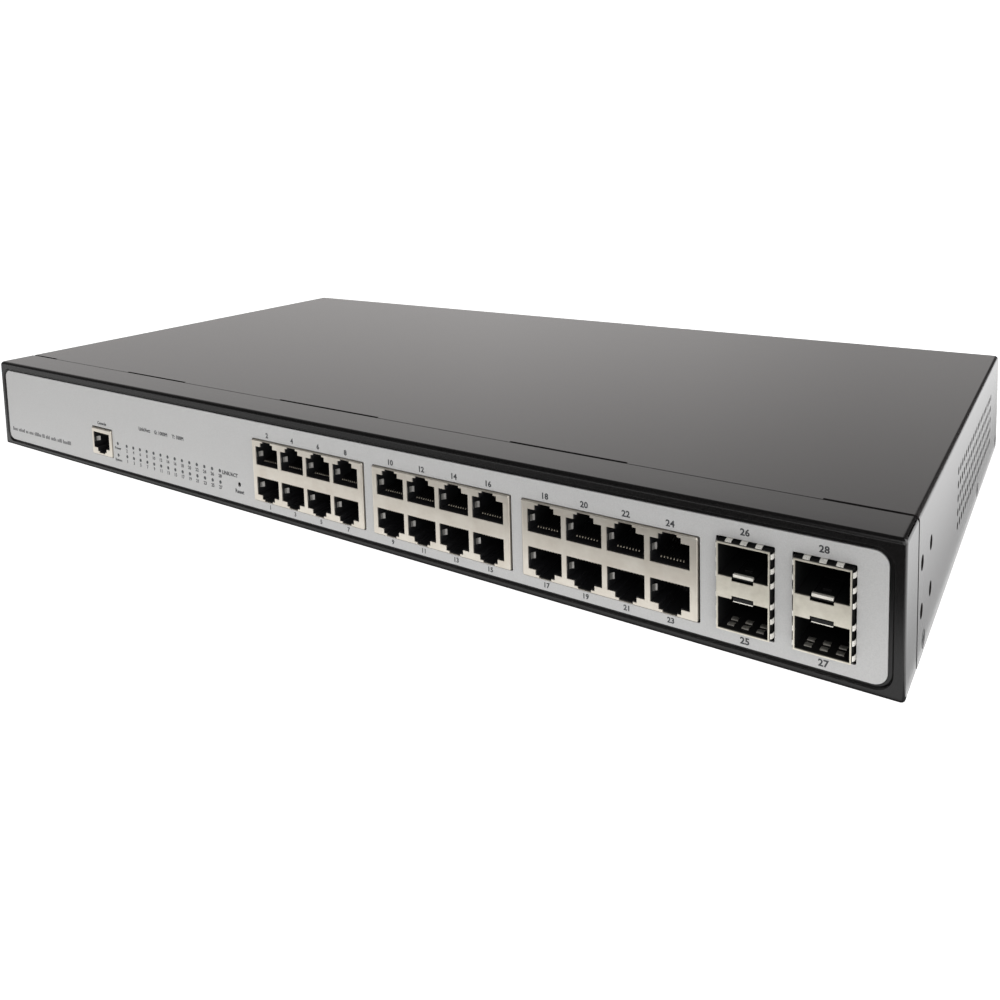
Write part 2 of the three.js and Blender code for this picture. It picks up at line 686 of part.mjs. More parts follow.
function transformer(x, y, top) {
  const core = box(x - 16, x + 16, y - 14, y + 14, boardTop + 3.2, top);
  const window = joined(
    box(x - 11, x + 11, y - 20, y - 8.5, boardTop + 6.6, top - 3.5),
    box(x - 11, x + 11, y + 8.5, y + 20, boardTop + 6.6, top - 3.5),
  );
  const bobbin = box(x - 18, x + 18, y - 11, y + 11, boardTop + boardGap, boardTop + 3.4);
  return joined(core.subtract(window), bobbin);
}

function capacitor(x, y) {
  const points = [[0, 0], [10.6, 0], [11, 0.6], [11, 3], [10.4, 3.8], [11, 4.6], [11, 29], [10.2, 30], [0, 30]];
  const profile = points.map(([r, z]) => new THREE.Vector2(r, z));
  const geometry = new THREE.LatheGeometry(profile, 14);
  geometry.rotateX(Math.PI / 2);
  geometry.translate(x, y, boardTop + boardGap);
  return solidOf(geometry);
}

function harness() {
  const points = [
    [-128, 52, 12], [-128, 44, 14.5], [-125, 32, 17], [-119, 24, 17], [-114, 20, 14], [-112, 18, 11.5],
  ];
  const path = new THREE.CatmullRomCurve3(points.map((p) => new THREE.Vector3(...p)));
  const section = new THREE.Shape();
  section.absarc(0, 0, 2.2, 0, 2 * Math.PI);
  const geometry = new THREE.ExtrudeGeometry(section, { steps: 10, curveSegments: 4, extrudePath: path });
  return joined(
    solidOf(geometry),
    box(-133, -123, 47.5, 56.5, boardTop + boardGap, 12.8),
    box(-117, -107, 13.5, 22.5, boardTop + boardGap, 12.4),
  );
}

function supplyHeatsink(low) {
  const { back, front, from, to, top } = supplySink;
  const grooves = range(4).map((i) => box(back - 1, front - 2.5, from - 4, to + 4, 11 + i * 6, 14 + i * 6));
  return cutFrom(box(back, front, from, to, low, top), grooves);
}

function insulatingSheet() {
  const { left, right, from, to, low, top, hole } = insulator;
  const holes = supplyStandoffs().map(([x, y]) => rod('z', [x, y], hole, 0, 4, 8));
  return cutFrom(box(left, right, from, to, low, top), holes);
}

function addInside() {
  place('main_board', mainBoard(), boardGreen);
  mainStandoffs().forEach(([x, y], index) => place(`board_screw_${index + 1}`, boardScrew(x, y), zinc));
  place('power_board', supplyBoardSolid(), boardGreen);
  const low = boardTop + boardGap;
  place('switch_chip', box(
    chip.x - chip.half, chip.x + chip.half, chip.y - chip.half, chip.y + chip.half, low, low + chip.height,
  ), blackPlastic);
  place('switch_heatsink', finnedSink(chip.x, chip.y, low + chip.height + 0.2), finAluminium);
  blockCentres.forEach((x, index) => {
    const { half, gap, depth, height } = magnetics;
    const y = jackFrontY + block.depth + gap;
    const body = box(x - half, x + half, y, y + depth, low, low + height);
    place(`port_magnetics_${index + 1}`, body, blackPlastic);
  });
  const { x, y, top } = supplyTransformer;
  place('power_transformer', transformer(x, y, top), tape);
  place('bulk_capacitor', capacitor(mainCapacitor.x, mainCapacitor.y), sleeve);
  place('power_heatsink', supplyHeatsink(low), finAluminium);
  place('dc_harness', harness(), wire);
  place('insulating_sheet', insulatingSheet(), clearPlastic);
}

// ---- mains inlet -----------------------------------------------------------------------

const inletCavity = { half: 12.2, high: 8.1, chamfer: 4.2, depth: 16 };

function powerInlet() {
  const flangeBack = wallY + 0.2;
  const { flangeHalf, flangeHigh, bodyHalf, bodyHigh, depth, screwX } = inlet;
  const flange = prism('xz', roundedAll(
    inletX - flangeHalf, inletX + flangeHalf, inletZ - flangeHigh, inletZ + flangeHigh, 3,
  ), flangeBack, rearY);
  const body = box(
    inletX - bodyHalf, inletX + bodyHalf, rearY - depth, flangeBack + 0.3, inletZ - bodyHigh, inletZ + bodyHigh,
  );
  const { half, high, chamfer } = inletCavity;
  const mouth = polygon([
    [inletX - half, inletZ - high], [inletX + half, inletZ - high],
    [inletX + half, inletZ + high - chamfer], [inletX + half - chamfer, inletZ + high],
    [inletX - half + chamfer, inletZ + high], [inletX - half, inletZ + high - chamfer],
  ]);
  const cavity = prism('xz', mouth, rearY - inletCavity.depth, rearY + 1);
  const pinHoles = pinPlaces().map(([x, z]) => box(x - 1.2, x + 1.2, rearY - 30, rearY, z - 2.2, z + 2.2));
  const screwHoles = [-1, 1].map((side) => screwHole('y', [inletX + side * screwX, inletZ], rearY, 1));
  return cutFrom(joined(flange, body), cavity, pinHoles, screwHoles);
}

function pinPlaces() {
  return [[inletX - 7, inletZ - 2], [inletX, inletZ + 2], [inletX + 7, inletZ - 2]];
}

function inletPin(x, z) {
  const tip = rearY - 1.6;
  const blade = prism('xy', polygon([
    [x - 1, rearY - inlet.depth - 5], [x + 1, rearY - inlet.depth - 5],
    [x + 1, tip - 1], [x + 0.5, tip], [x - 0.5, tip], [x - 1, tip - 1],
  ]), z - 2, z + 2);
  return blade;
}

function groundScrew() {
  return cutFrom(
    joined(
      rod('y', [groundX, groundZ], 3.6, wallY + 0.15, rearY, 16, 3.3),
      rod('y', [groundX, groundZ], 1.9, wallY - 7, wallY + 0.5, 12),
    ),
    box(groundX - 2.4, groundX + 2.4, rearY - 0.5, rearY + 1, groundZ - 0.35, groundZ + 0.35),
    box(groundX - 0.35, groundX + 0.35, rearY - 0.5, rearY + 1, groundZ - 2.4, groundZ + 2.4),
  );
}

function addInlet() {
  place('power_inlet', powerInlet(), blackPlastic);
  const names = ['line', 'earth', 'neutral'];
  pinPlaces().forEach(([x, z], index) => place(`inlet_pin_${names[index]}`, inletPin(x, z), zinc));
  [-1, 1].forEach((side, index) => {
    const centre = [inletX + side * inlet.screwX, inletZ];
    place(`inlet_screw_${index + 1}`, flushScrew('y', centre, rearY - 0.1, 1), zinc);
  });
  place('ground_screw', groundScrew(), zinc);
}

// ---- assembly -----------------------------------------------------------------------------

function addCase() {
  place('base_tray', baseTray(), charcoalCoat);
  place('front_panel', frontPanel(), blackCoat);
  place('front_plate', frontPlate(), silverFilm);
  place('top_cover', topCover(), charcoalCoat);
  const sides = { left: -1, right: 1 };
  for (const [label, side] of Object.entries(sides)) {
    sideScrewPlaces().forEach((centre, index) => {
      const face = side * (halfWidth - 0.1);
      place(`cover_screw_${label}_${index + 1}`, flushScrew('x', centre, face, side), blackScrew);
    });
  }
  rearScrews.forEach((x, index) => {
    place(`cover_screw_rear_${index + 1}`, flushScrew('y', [x, rearScrewZ], rearY - 0.1, 1), blackScrew);
  });
}

addCase();
addJackBlocks();
addCages();
place('light_guide', lightGuide(), clearPlastic);
place('reset_switch', resetSwitchBody(), buttonPlastic);
place('reset_plunger', resetPlunger(), blackPlastic);
addInside();
addInlet();

export default root;
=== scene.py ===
import math
import random

import bmesh
import bpy
from mathutils import Matrix, Vector


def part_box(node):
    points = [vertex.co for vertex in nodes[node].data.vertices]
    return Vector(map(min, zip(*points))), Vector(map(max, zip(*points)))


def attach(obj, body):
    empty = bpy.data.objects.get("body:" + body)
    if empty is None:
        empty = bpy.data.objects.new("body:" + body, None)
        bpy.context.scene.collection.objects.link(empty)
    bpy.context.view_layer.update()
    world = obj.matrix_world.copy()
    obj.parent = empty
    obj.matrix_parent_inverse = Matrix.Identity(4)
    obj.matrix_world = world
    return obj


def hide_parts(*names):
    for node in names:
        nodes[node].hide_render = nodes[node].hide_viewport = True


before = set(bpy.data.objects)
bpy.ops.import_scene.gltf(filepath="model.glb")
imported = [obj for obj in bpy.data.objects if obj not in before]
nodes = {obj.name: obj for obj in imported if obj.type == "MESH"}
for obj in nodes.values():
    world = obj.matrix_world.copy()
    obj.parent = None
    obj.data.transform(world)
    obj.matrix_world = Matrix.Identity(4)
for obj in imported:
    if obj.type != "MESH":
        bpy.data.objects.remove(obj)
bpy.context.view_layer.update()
mm = 0.001

# sizes of the case, in millimetres, from the frame's own boxes

bezelLow, bezelHigh = (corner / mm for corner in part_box("front_panel"))
plateLow, plateHigh = (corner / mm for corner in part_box("front_plate"))
cageLow, cageHigh = (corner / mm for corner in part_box("sfp_cage_1"))
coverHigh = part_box("top_cover")[1] / mm
blockLow, blockHigh = (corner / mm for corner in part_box("port_shield_1"))
halfWidth, caseTop, rearY = coverHigh.x, coverHigh.z, coverHigh.y
frontY, seamY = bezelLow.y, bezelHigh.y
jackFrontY = blockLow.y
blockCentres = [sum(c.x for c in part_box(f"port_shield_{k}")) / 2 / mm for k in (1, 2, 3)]
cageCentres = [sum(c.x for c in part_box(f"sfp_cage_{k}")) / 2 / mm for k in (1, 2)]
blockMiddle = (blockLow.z + blockHigh.z) / 2
cageMiddle = (cageLow.z + cageHigh.z) / 2
sheet, foldRadius = 1.0, 1.6

jack = {"width": 12.5, "height": 7.6, "steps": [(7.2, 1.65), (4.65, 0.7)], "pitch": 14.25, "band": 5.0}
consoleJack = {"x": -131.0, "halfWidth": 7.7, "low": 7.8, "high": 20.7, "flatZ": 18.7, "depth": 21.0}
cageCut = {"halfWidth": 8.35, "low": 7.0, "high": 34.5}
lights = {"firstX": -112.1, "pitch": 5.054, "columns": 14, "rows": (15.0, 10.0), "statusX": -119.0,
          "statusRows": (15.3, 9.7)}
resetHole = {"x": -34.4, "z": 11.2, "radius": 1.0}


# mesh helpers

def link(piece):
    bpy.context.scene.collection.objects.link(piece)
    return piece


def meshPiece(name, points, faces, material=None):
    mesh = bpy.data.meshes.new(name)
    mesh.from_pydata([[c * mm for c in p] for p in points], [], faces)
    mesh.validate()
    if material:
        mesh.materials.append(material)
    return link(bpy.data.objects.new(name, mesh))


def settle(piece):  # the modifiers' result becomes the mesh
    graph = bpy.context.evaluated_depsgraph_get()
    graph.update()
    made = bpy.data.meshes.new_from_object(piece.evaluated_get(graph), preserve_all_data_layers=True,
                                           depsgraph=graph)
    piece.modifiers.clear()
    piece.data = made
    made.name = piece.name
    return piece


def drop(*pieces):
    for piece in pieces:
        bpy.data.objects.remove(piece)


def cutAway(piece, cutter, tightFolds=False):
    modifier = piece.modifiers.new("cut", "BOOLEAN")
    modifier.operation = "DIFFERENCE"
    modifier.solver = "EXACT"
    modifier.use_self = tightFolds
    modifier.object = cutter
    settle(piece)
    drop(cutter)
    return piece


def thicken(piece, thickness):
    modifier = piece.modifiers.new("sheet", "SOLIDIFY")
    modifier.thickness = thickness * mm
    modifier.offset = -1
    modifier.use_even_offset = True
    return settle(piece)


def rollEdges(piece, width, segments=2, angle=40):  # small rounded edges that catch the light
    modifier = piece.modifiers.new("edges", "BEVEL")
    modifier.width = width * mm
    modifier.segments = segments
    modifier.limit_method = "ANGLE"
    modifier.angle_limit = math.radians(angle)
    modifier.use_clamp_overlap = True
    modifier.harden_normals = False
    return settle(piece)


def shadeSmooth(piece, angle=35):
    piece.data.shade_smooth()
    piece.data.set_sharp_from_angle(angle=math.radians(angle))
    modifier = piece.modifiers.new("normals", "WEIGHTED_NORMAL")
    modifier.keep_sharp = True
    modifier.weight = 60
    return settle(piece)


def wear(piece, material):
    piece.data.materials.clear()
    piece.data.materials.append(material)
    return piece


def outwards(piece):
    work = bmesh.new()
    work.from_mesh(piece.data)
    bmesh.ops.remove_doubles(work, verts=work.verts, dist=1e-7)
    bmesh.ops.recalc_face_normals(work, faces=work.faces)
    work.to_mesh(piece.data)
    work.free()
    return piece


class Parts:  # several closed bodies gathered in one mesh
    def __init__(self):
        self.points, self.faces = [], []

    def loft(self, rings, capStart=True, capEnd=True):
        start, count = len(self.points), len(rings[0])
        for ring in rings:
            self.points += ring
        for k in range(len(rings) - 1):
            a, b = start + k * count, start + (k + 1) * count
            self.faces += [(a + i, a + (i + 1) % count, b + (i + 1) % count, b + i) for i in range(count)]
        if capStart:
            self.faces.append(tuple(reversed(range(start, start + count))))
        if capEnd:
            last = start + (len(rings) - 1) * count
            self.faces.append(tuple(range(last, last + count)))

    def prism(self, outline, back, front, axis="y"):  # an outline that runs along an axis
        self.loft([[turned(u, v, w, axis) for u, v in outline] for w in (back, front)])

    def add(self, mesh):
        start = len(self.points)
        self.points += [tuple(c / mm for c in v.co) for v in mesh.vertices]
        self.faces += [tuple(start + i for i in p.vertices) for p in mesh.polygons]

    def piece(self, name, material=None, fixNormals=False):
        made = meshPiece(name, self.points, self.faces, material)
        return outwards(made) if fixNormals else made


def turned(u, v, w, axis):
    return {"y": (u, w, v), "x": (w, u, v), "z": (u, v, w)}[axis]


def roundedOutline(u0, u1, v0, v1, radius, steps=6, lowRadius=None):
    points = []
    low = radius if lowRadius is None else lowRadius
    corners = ((u1 - radius, v1 - radius, radius), (u0 + radius, v1 - radius, radius),
               (u0 + low, v0 + low, low), (u1 - low, v0 + low, low))
    for quarter, (cu, cv, reach) in enumerate(corners):
        for i in range(steps + 1):
            turn = math.radians(90 * quarter + 90 * i / steps)
            points.append((cu + reach * math.cos(turn), cv + reach * math.sin(turn)))
    return points


def circle(cu, cv, radius, sides=16):
    turns = [2 * math.pi * i / sides for i in range(sides)]
    return [(cu + radius * math.cos(turn), cv + radius * math.sin(turn)) for turn in turns]


# geometry node helpers

def startTree(name, sizes):
    tree = bpy.data.node_groups.new(name, "GeometryNodeTree")
    tree.interface.new_socket("Geometry", in_out="INPUT", socket_type="NodeSocketGeometry")
    tree.interface.new_socket("Geometry", in_out="OUTPUT", socket_type="NodeSocketGeometry")
    for label, value in sizes.items():
        kind = {int: "NodeSocketInt", float: "NodeSocketFloat"}.get(type(value), "NodeSocketMaterial")
        socket = tree.interface.new_socket(label, in_out="INPUT", socket_type=kind)
        if kind != "NodeSocketMaterial":
            socket.default_value = value
    return tree, tree.nodes.new("NodeGroupInput").outputs, tree.nodes.new("NodeGroupOutput").inputs


def addNode(tree, kind, inputs=None, **settings):
    node = tree.nodes.new(kind)
    for key, value in settings.items():
        setattr(node, key, value)
    for socket, value in (inputs or {}).items():
        if isinstance(value, bpy.types.NodeSocket):
            tree.links.new(value, node.inputs[socket])
        else:
            node.inputs[socket].default_value = value
    return node


def endTree(tree, geometry, given, exits):
    real = addNode(tree, "GeometryNodeRealizeInstances", {0: geometry})
    dressed = addNode(tree, "GeometryNodeSetMaterial",
                      {"Geometry": real.outputs[0], "Material": given["Material"]})
    tree.links.new(dressed.outputs[0], exits[0])


def grow(piece, tree, sizes, material):  # runs a tree on a piece and keeps the plain mesh
    modifier = piece.modifiers.new("grow", "NODES")
    modifier.node_group = tree
    for item in tree.interface.items_tree:
        if item.in_out == "INPUT" and item.name in sizes:
            modifier[item.identifier] = sizes[item.name]
        if item.in_out == "INPUT" and item.name == "Material":
            modifier[item.identifier] = material
    settle(piece)
    return piece


def inMetres(sizes):  # counts stay as they are
    return {key: value * mm if isinstance(value, float) else value for key, value in sizes.items()}


def bezier(points):  # a curve's own points, from millimetres
    return {key: tuple(c * mm for c in place) for key, place in points.items()}


def reckon(tree, first, second, operation="MULTIPLY"):
    return addNode(tree, "ShaderNodeMath", {0: first, 1: second}, operation=operation).outputs[0]


def vector(tree, parts):  # sockets or numbers for X, Y and Z
    return addNode(tree, "ShaderNodeCombineXYZ", parts).outputs[0]


def named(tree, name):
    return addNode(tree, "GeometryNodeInputNamedAttribute", {"Name": name},
                   data_type="FLOAT_VECTOR").outputs[0]


def scatter(tree, points, source, **ways):
    return addNode(tree, "GeometryNodeInstanceOnPoints",
                   {"Points": points, "Instance": source, **ways}).outputs[0]


def sweptStrip(tree, curve, width, thickness, resolution):  # flat strip along a Bezier curve
    path = addNode(tree, "GeometryNodeCurvePrimitiveBezierSegment", {"Resolution": resolution, **curve},
                   mode="POSITION")
    section = addNode(tree, "GeometryNodeCurvePrimitiveQuadrilateral", {"Width": width, "Height": thickness})
    swept = {"Curve": path.outputs[0], "Profile Curve": section.outputs[0], "Fill Caps": True}
    return addNode(tree, "GeometryNodeCurveToMesh", swept).outputs[0]


def placesPiece(name, places, attributes=None):  # one point for each place, with numbers to steer it
    piece = meshPiece(name, places, [])
    for label, values in (attributes or {}).items():
        kind = "FLOAT_VECTOR" if hasattr(values[0], "__len__") else "FLOAT"
        layer = piece.data.attributes.new(label, kind, "POINT")
        flat = [c for v in values for c in v] if kind == "FLOAT_VECTOR" else list(values)
        layer.data.foreach_set("vector" if kind == "FLOAT_VECTOR" else "value", flat)
    return piece


# camera, light and floor

view = {
    "position": (0.2572, -0.3567, 0.1422), "turn": -34.446, "tilt": 5.777, "roll": -1.622,
    "lens": 32.27, "sensor": 36.0, "shift": (0.0124, -0.2488),
}


def makeCamera():
    turn, tilt, roll = (math.radians(view[key]) for key in ("turn", "tilt", "roll"))
    ahead = Vector((math.sin(turn) * math.cos(tilt), math.cos(turn) * math.cos(tilt), -math.sin(tilt)))
    level = Vector((math.cos(turn), -math.sin(turn), 0))
    above = level.cross(ahead)
    right = level * math.cos(roll) + above * math.sin(roll)
    up = above * math.cos(roll) - level * math.sin(roll)
    data = bpy.data.cameras.new("camera")
    data.lens, data.sensor_width = view["lens"], view["sensor"]
    data.shift_x, data.shift_y = view["shift"]
    data.clip_start, data.clip_end = 0.01, 50
    camera = link(bpy.data.objects.new("camera", data))
    axes = Matrix((right, up, -ahead)).transposed().to_4x4()
    camera.matrix_world = Matrix.Translation(view["position"]) @ axes
    bpy.context.scene.camera = camera


studio = {
    # how high up and how bright, behind the case and on the viewer's side
    "back": ((0.0, 0.84), (0.10, 0.90), (0.20, 1.02), (0.34, 1.02), (0.48, 0.55), (0.75, 0.10)),
    "front": ((0.0, 0.55), (0.08, 0.30), (0.25, 0.10), (0.60, 0.03), (0.90, 0.05)),
    # dimmer straight behind than to the left, and dark behind on the right, which the side's bend shows
    "across": ((0.0, 0.66), (0.20, 0.72), (0.36, 0.88), (0.55, 0.96), (0.85, 0.80)),
    "gap": ((0.0, 1.0), (0.04, 0.08), (0.40, 0.08), (0.55, 1.0)),
    "turnover": (-0.30, 0.30), "warmth": (1.0, 0.972, 0.960), "seen": 1.08,
    "floorGlow": 0.95, "floorColour": (0.93, 0.93, 0.93), "floorReach": (-9000, 9000), "cardHeight": 0.05,
    # cards that only reflections see: brightness at the case, far off on the left, far off on the right
    "frontCard": {"near": 0.92, "farLeft": 0.60, "farRight": 0.0, "fade": (16, 66), "contact": (0.5, 2.2),
                  "shadow": 0.05, "across": (-150, 150), "x": (-900, 500), "y": (frontY - 500, frontY + 4)},
    "sideCard": {"near": 0.68, "far": 1.65, "fade": (0, 26), "x": (halfWidth + 1, 700), "y": (frontY, 900)},
    "lamps": {  # place, aim, width, height, power
        "sideBox": ((1.6, 0.6, 0.7), (0.2, 0.0, 0.02), 2.2, 1.3, 16.0),
        "frontBox": ((1.2, -1.5, 1.1), (0.12, -0.12, 0.02), 3.0, 2.2, 30.0),
    },
}


def fillRamp(ramp, levels, tint=(1, 1, 1)):
    stops = ramp.color_ramp.elements
    while len(stops) < len(levels):
        stops.new(0.5)
    for stop, (place, level) in zip(stops, levels):
        stop.position, stop.color = place, (*(level * part for part in tint), 1)


def flatPiece(name, across, along, z, material):
    (x0, x1), (y0, y1) = across, along
    return meshPiece(name, [(x0, y0, z), (x1, y0, z), (x1, y1, z), (x0, y1, z)], [(0, 1, 2, 3)], material)


def makeStudio():
    world = bpy.data.worlds.new("studio")
    bpy.context.scene.world = world
    world.use_nodes = True
    tree = world.node_tree
    room = tree.nodes["Background"]
    ways = addNode(tree, "ShaderNodeSeparateXYZ",
                   {0: tree.nodes.new("ShaderNodeTexCoord").outputs["Generated"]}).outputs
    sides = []
    for side, tint in (("front", (1, 1, 1)), ("back", studio["warmth"])):
        ramp = addNode(tree, "ShaderNodeValToRGB", {"Fac": ways["Z"]})
        fillRamp(ramp, studio[side], tint)
        sides.append(ramp.outputs["Color"])
    gap = addNode(tree, "ShaderNodeValToRGB", {"Fac": ways["X"]})
    fillRamp(gap, studio["gap"])
    sides[1] = between(tree, gap.outputs["Color"], (0.0, 0.0, 0.0), sides[1])
    facing = ease(tree, ways["Y"], *studio["turnover"], 0.0, 1.0)
    tree.links.new(between(tree, facing, *sides), room.inputs["Color"])
    across = addNode(tree, "ShaderNodeValToRGB", {"Fac": reckon(tree, ways["X"], -1.0)})
    fillRamp(across, studio["across"])
    tree.links.new(across.outputs["Color"], room.inputs["Strength"])
    seen = addNode(tree, "ShaderNodeBackground", {"Color": (1, 1, 1, 1), "Strength": studio["seen"]})
    isSeen = tree.nodes.new("ShaderNodeLightPath").outputs["Is Camera Ray"]
    mix = addNode(tree, "ShaderNodeMixShader", {0: isSeen, 1: room.outputs[0], 2: seen.outputs[0]})
    tree.links.new(mix.outputs[0], tree.nodes["World Output"].inputs["Surface"])
    for name, (place, aim, width, height, power) in studio["lamps"].items():
        data = bpy.data.lights.new(name, "AREA")
        data.shape, data.size, data.size_y, data.energy = "RECTANGLE", width, height, power
        lamp = link(bpy.data.objects.new(name, data))
        aimed = (Vector(aim) - Vector(place)).to_track_quat("-Z", "Y").to_matrix().to_4x4()
        lamp.matrix_world = Matrix.Translation(place) @ aimed
    floor = flatPiece("floor", studio["floorReach"], studio["floorReach"], 0, floorPaint())
    makeCards()
    scene = bpy.context.scene
    scene.view_settings.view_transform = "Standard"
    scene.view_settings.look = "None"


def cardGlow(name, level):  # level gives the brightness socket from the tree and the place
    material, tree, shader, place = startFinish(name)
    shader.inputs["Base Color"].default_value = (0, 0, 0, 1)
    shader.inputs["Specular IOR Level"].default_value = 0.0
    shader.inputs["Emission Color"].default_value = (1, 1, 1, 1)
    ways = addNode(tree, "ShaderNodeSeparateXYZ", {0: place}).outputs
    tree.links.new(level(tree, ways), shader.inputs["Emission Strength"])
    return material


def ease(tree, value, fromLow, fromHigh, low, high):
    limits = {"From Min": fromLow, "From Max": fromHigh, "To Min": low, "To Max": high}
    return addNode(tree, "ShaderNodeMapRange", {"Value": value, **limits},
                   interpolation_type="SMOOTHSTEP").outputs[0]


def frontLevel(tree, ways):
    look = studio["frontCard"]
    left, right = (x * mm for x in look["across"])
    far = ease(tree, ways["X"], left, right, look["farLeft"], look["farRight"])
    near, away = ((frontY - reach) * mm for reach in look["fade"])
    nearness = ease(tree, ways["Y"], away, near, 0.0, 1.0)
    level = tree.nodes.new("ShaderNodeMix")
    tree.links.new(nearness, level.inputs[0])
    tree.links.new(far, level.inputs[2])
    level.inputs[3].default_value = look["near"]
    near, away = ((frontY - reach) * mm for reach in look["contact"])
    return reckon(tree, level.outputs[0], ease(tree, ways["Y"], away, near, 1.0, look["shadow"]))


def sideLevel(tree, ways):
    look = studio["sideCard"]
    near, away = ((halfWidth + reach) * mm for reach in look["fade"])
    return ease(tree, ways["X"], near, away, look["near"], look["far"])


def makeCards():
    for name, level in (("frontCard", frontLevel), ("sideCard", sideLevel)):
        look = studio[name]
        card = flatPiece(name, look["x"], look["y"], studio["cardHeight"], cardGlow(name, level))
        card.visible_camera = card.visible_diffuse = card.visible_shadow = card.visible_transmission = False


# finishes

def startFinish(name):
    material = bpy.data.materials.new(name)
    material.use_nodes = True
    tree = material.node_tree
    shader = tree.nodes["Principled BSDF"]
    place = tree.nodes.new("ShaderNodeTexCoord").outputs["Object"]
    return material, tree, shader, place


def noise(tree, place, size, detail=3.0, roughness=0.5, stretch=None):  # size in millimetres
    if stretch:
        place = addNode(tree, "ShaderNodeMapping", {"Vector": place, "Scale": stretch}).outputs[0]
    shape = {"Scale": 1 / (size * mm), "Detail": detail, "Roughness": roughness}
    return addNode(tree, "ShaderNodeTexNoise", {"Vector": place, **shape}).outputs["Fac"]


def spread(tree, value, low, high, fromLow=0.3, fromHigh=0.7):
    limits = {"From Min": fromLow, "From Max": fromHigh, "To Min": low, "To Max": high}
    return addNode(tree, "ShaderNodeMapRange", {"Value": value, **limits}).outputs[0]


def between(tree, factor, first, second):
    mix = tree.nodes.new("ShaderNodeMix")
    mix.data_type = "RGBA"
    for socket, value in ((mix.inputs[0], factor), (mix.inputs[6], first), (mix.inputs[7], second)):
        if isinstance(value, bpy.types.NodeSocket):
            tree.links.new(value, socket)
        else:
            socket.default_value = value if isinstance(value, float) else (*value, 1)
    return mix.outputs[2]


def relief(tree, shader, height, depth, strength=1.0):  # depth in millimetres
    bump = addNode(tree, "ShaderNodeBump", {"Height": height, "Distance": depth * mm, "Strength": strength})
    tree.links.new(bump.outputs[0], shader.inputs["Normal"])


def paint(tree, shader, look, pattern, *limits):  # from dark to light as the pattern goes
    tree.links.new(between(tree, spread(tree, pattern, 0.0, 1.0, *limits), look["dark"], look["light"]),
                   shader.inputs["Base Color"])


def roughen(tree, shader, look, pattern, less, more):
    tree.links.new(spread(tree, pattern, look["rough"] - less, look["rough"] + more),
                   shader.inputs["Roughness"])


def powderCoat(name, **look):
    material, tree, shader, place = startFinish(name)
    grain = noise(tree, place, look["grain"], 2.0, 0.55)
    paint(tree, shader, look, grain, 0.35, 0.7)
    roughen(tree, shader, look, grain, 0.01, 0.01)
    relief(tree, shader, grain, look["relief"], look["strength"])
    shader.inputs["Specular IOR Level"].default_value = look["gloss"]
    return material


def satinFilm(name, **look):
    material, tree, shader, place = startFinish(name)
    grain = noise(tree, place, look["grain"], 2.0, 0.6)
    paint(tree, shader, look, grain)
    roughen(tree, shader, look, noise(tree, place, look["broad"], 2.0), 0.03, 0.03)
    relief(tree, shader, grain, look["relief"], 0.6)
    shader.inputs["Metallic"].default_value = look["metallic"]
    return material


def bareMetal(name, **look):
    material, tree, shader, place = startFinish(name)
    cloud = noise(tree, place, look["cloud"], 3.0, 0.6)
    lines = noise(tree, place, look["line"], 2.0, 0.5, look.get("stretch"))
    paint(tree, shader, look, cloud)
    roughen(tree, shader, look, lines, 0.05, 0.07)
    relief(tree, shader, lines, 0.01, 0.4)
    shader.inputs["Metallic"].default_value = look["metallic"]
    return material


def mouldedPlastic(name, **look):
    material, tree, shader, place = startFinish(name)
    grain = noise(tree, place, look["grain"], 2.0, 0.5)
    paint(tree, shader, look, grain)
    roughen(tree, shader, look, grain, 0.06, 0.06)
    relief(tree, shader, grain, 0.02, 0.5)
    return material


def deepMetal(name, **look):  # bare at the mouth, with painted shade darkening it further in
    material, tree, shader, place = startFinish(name)
    cloud = noise(tree, place, look["cloud"], 3.0, 0.6)
    bare = between(tree, spread(tree, cloud, 0.0, 1.0), look["dark"], look["light"])
    depth = addNode(tree, "ShaderNodeSeparateXYZ", {0: place}).outputs["Y"]
    paintedShade = spread(tree, depth, 0.0, 1.0, look["mouth"] * mm, look["deep"] * mm)
    if "shaded" in look:  # painted shade over a stretch round this height
        level = addNode(tree, "ShaderNodeSeparateXYZ", {0: place}).outputs["Z"]
        middle, reach = (size * mm for size in look["shaded"])
        band = addNode(tree, "ShaderNodeMath", {0: level, 1: middle, 2: reach}, operation="COMPARE")
        paintedShade = reckon(tree, paintedShade, band.outputs[0], "MAXIMUM")
    tree.links.new(between(tree, paintedShade, bare, look["inner"]), shader.inputs["Base Color"])
    tree.links.new(spread(tree, paintedShade, look["rough"], 0.55, 0.0, 1.0), shader.inputs["Roughness"])
    relief(tree, shader, cloud, 0.02, 0.3)
    shader.inputs["Metallic"].default_value = look["metallic"]
    return material


def floorPaint():
    material, tree, shader, place = startFinish("floorPaint")
    tone = between(tree, noise(tree, place, 900.0, 2.0), studio["floorColour"], (0.96, 0.96, 0.96))
    tree.links.new(tone, shader.inputs["Base Color"])
    shader.inputs["Roughness"].default_value = 0.9
    shader.inputs["Specular IOR Level"].default_value = 0.1
    shader.inputs["Emission Color"].default_value = (1, 1, 1, 1)
    shader.inputs["Emission Strength"].default_value = studio["floorGlow"]
    return material


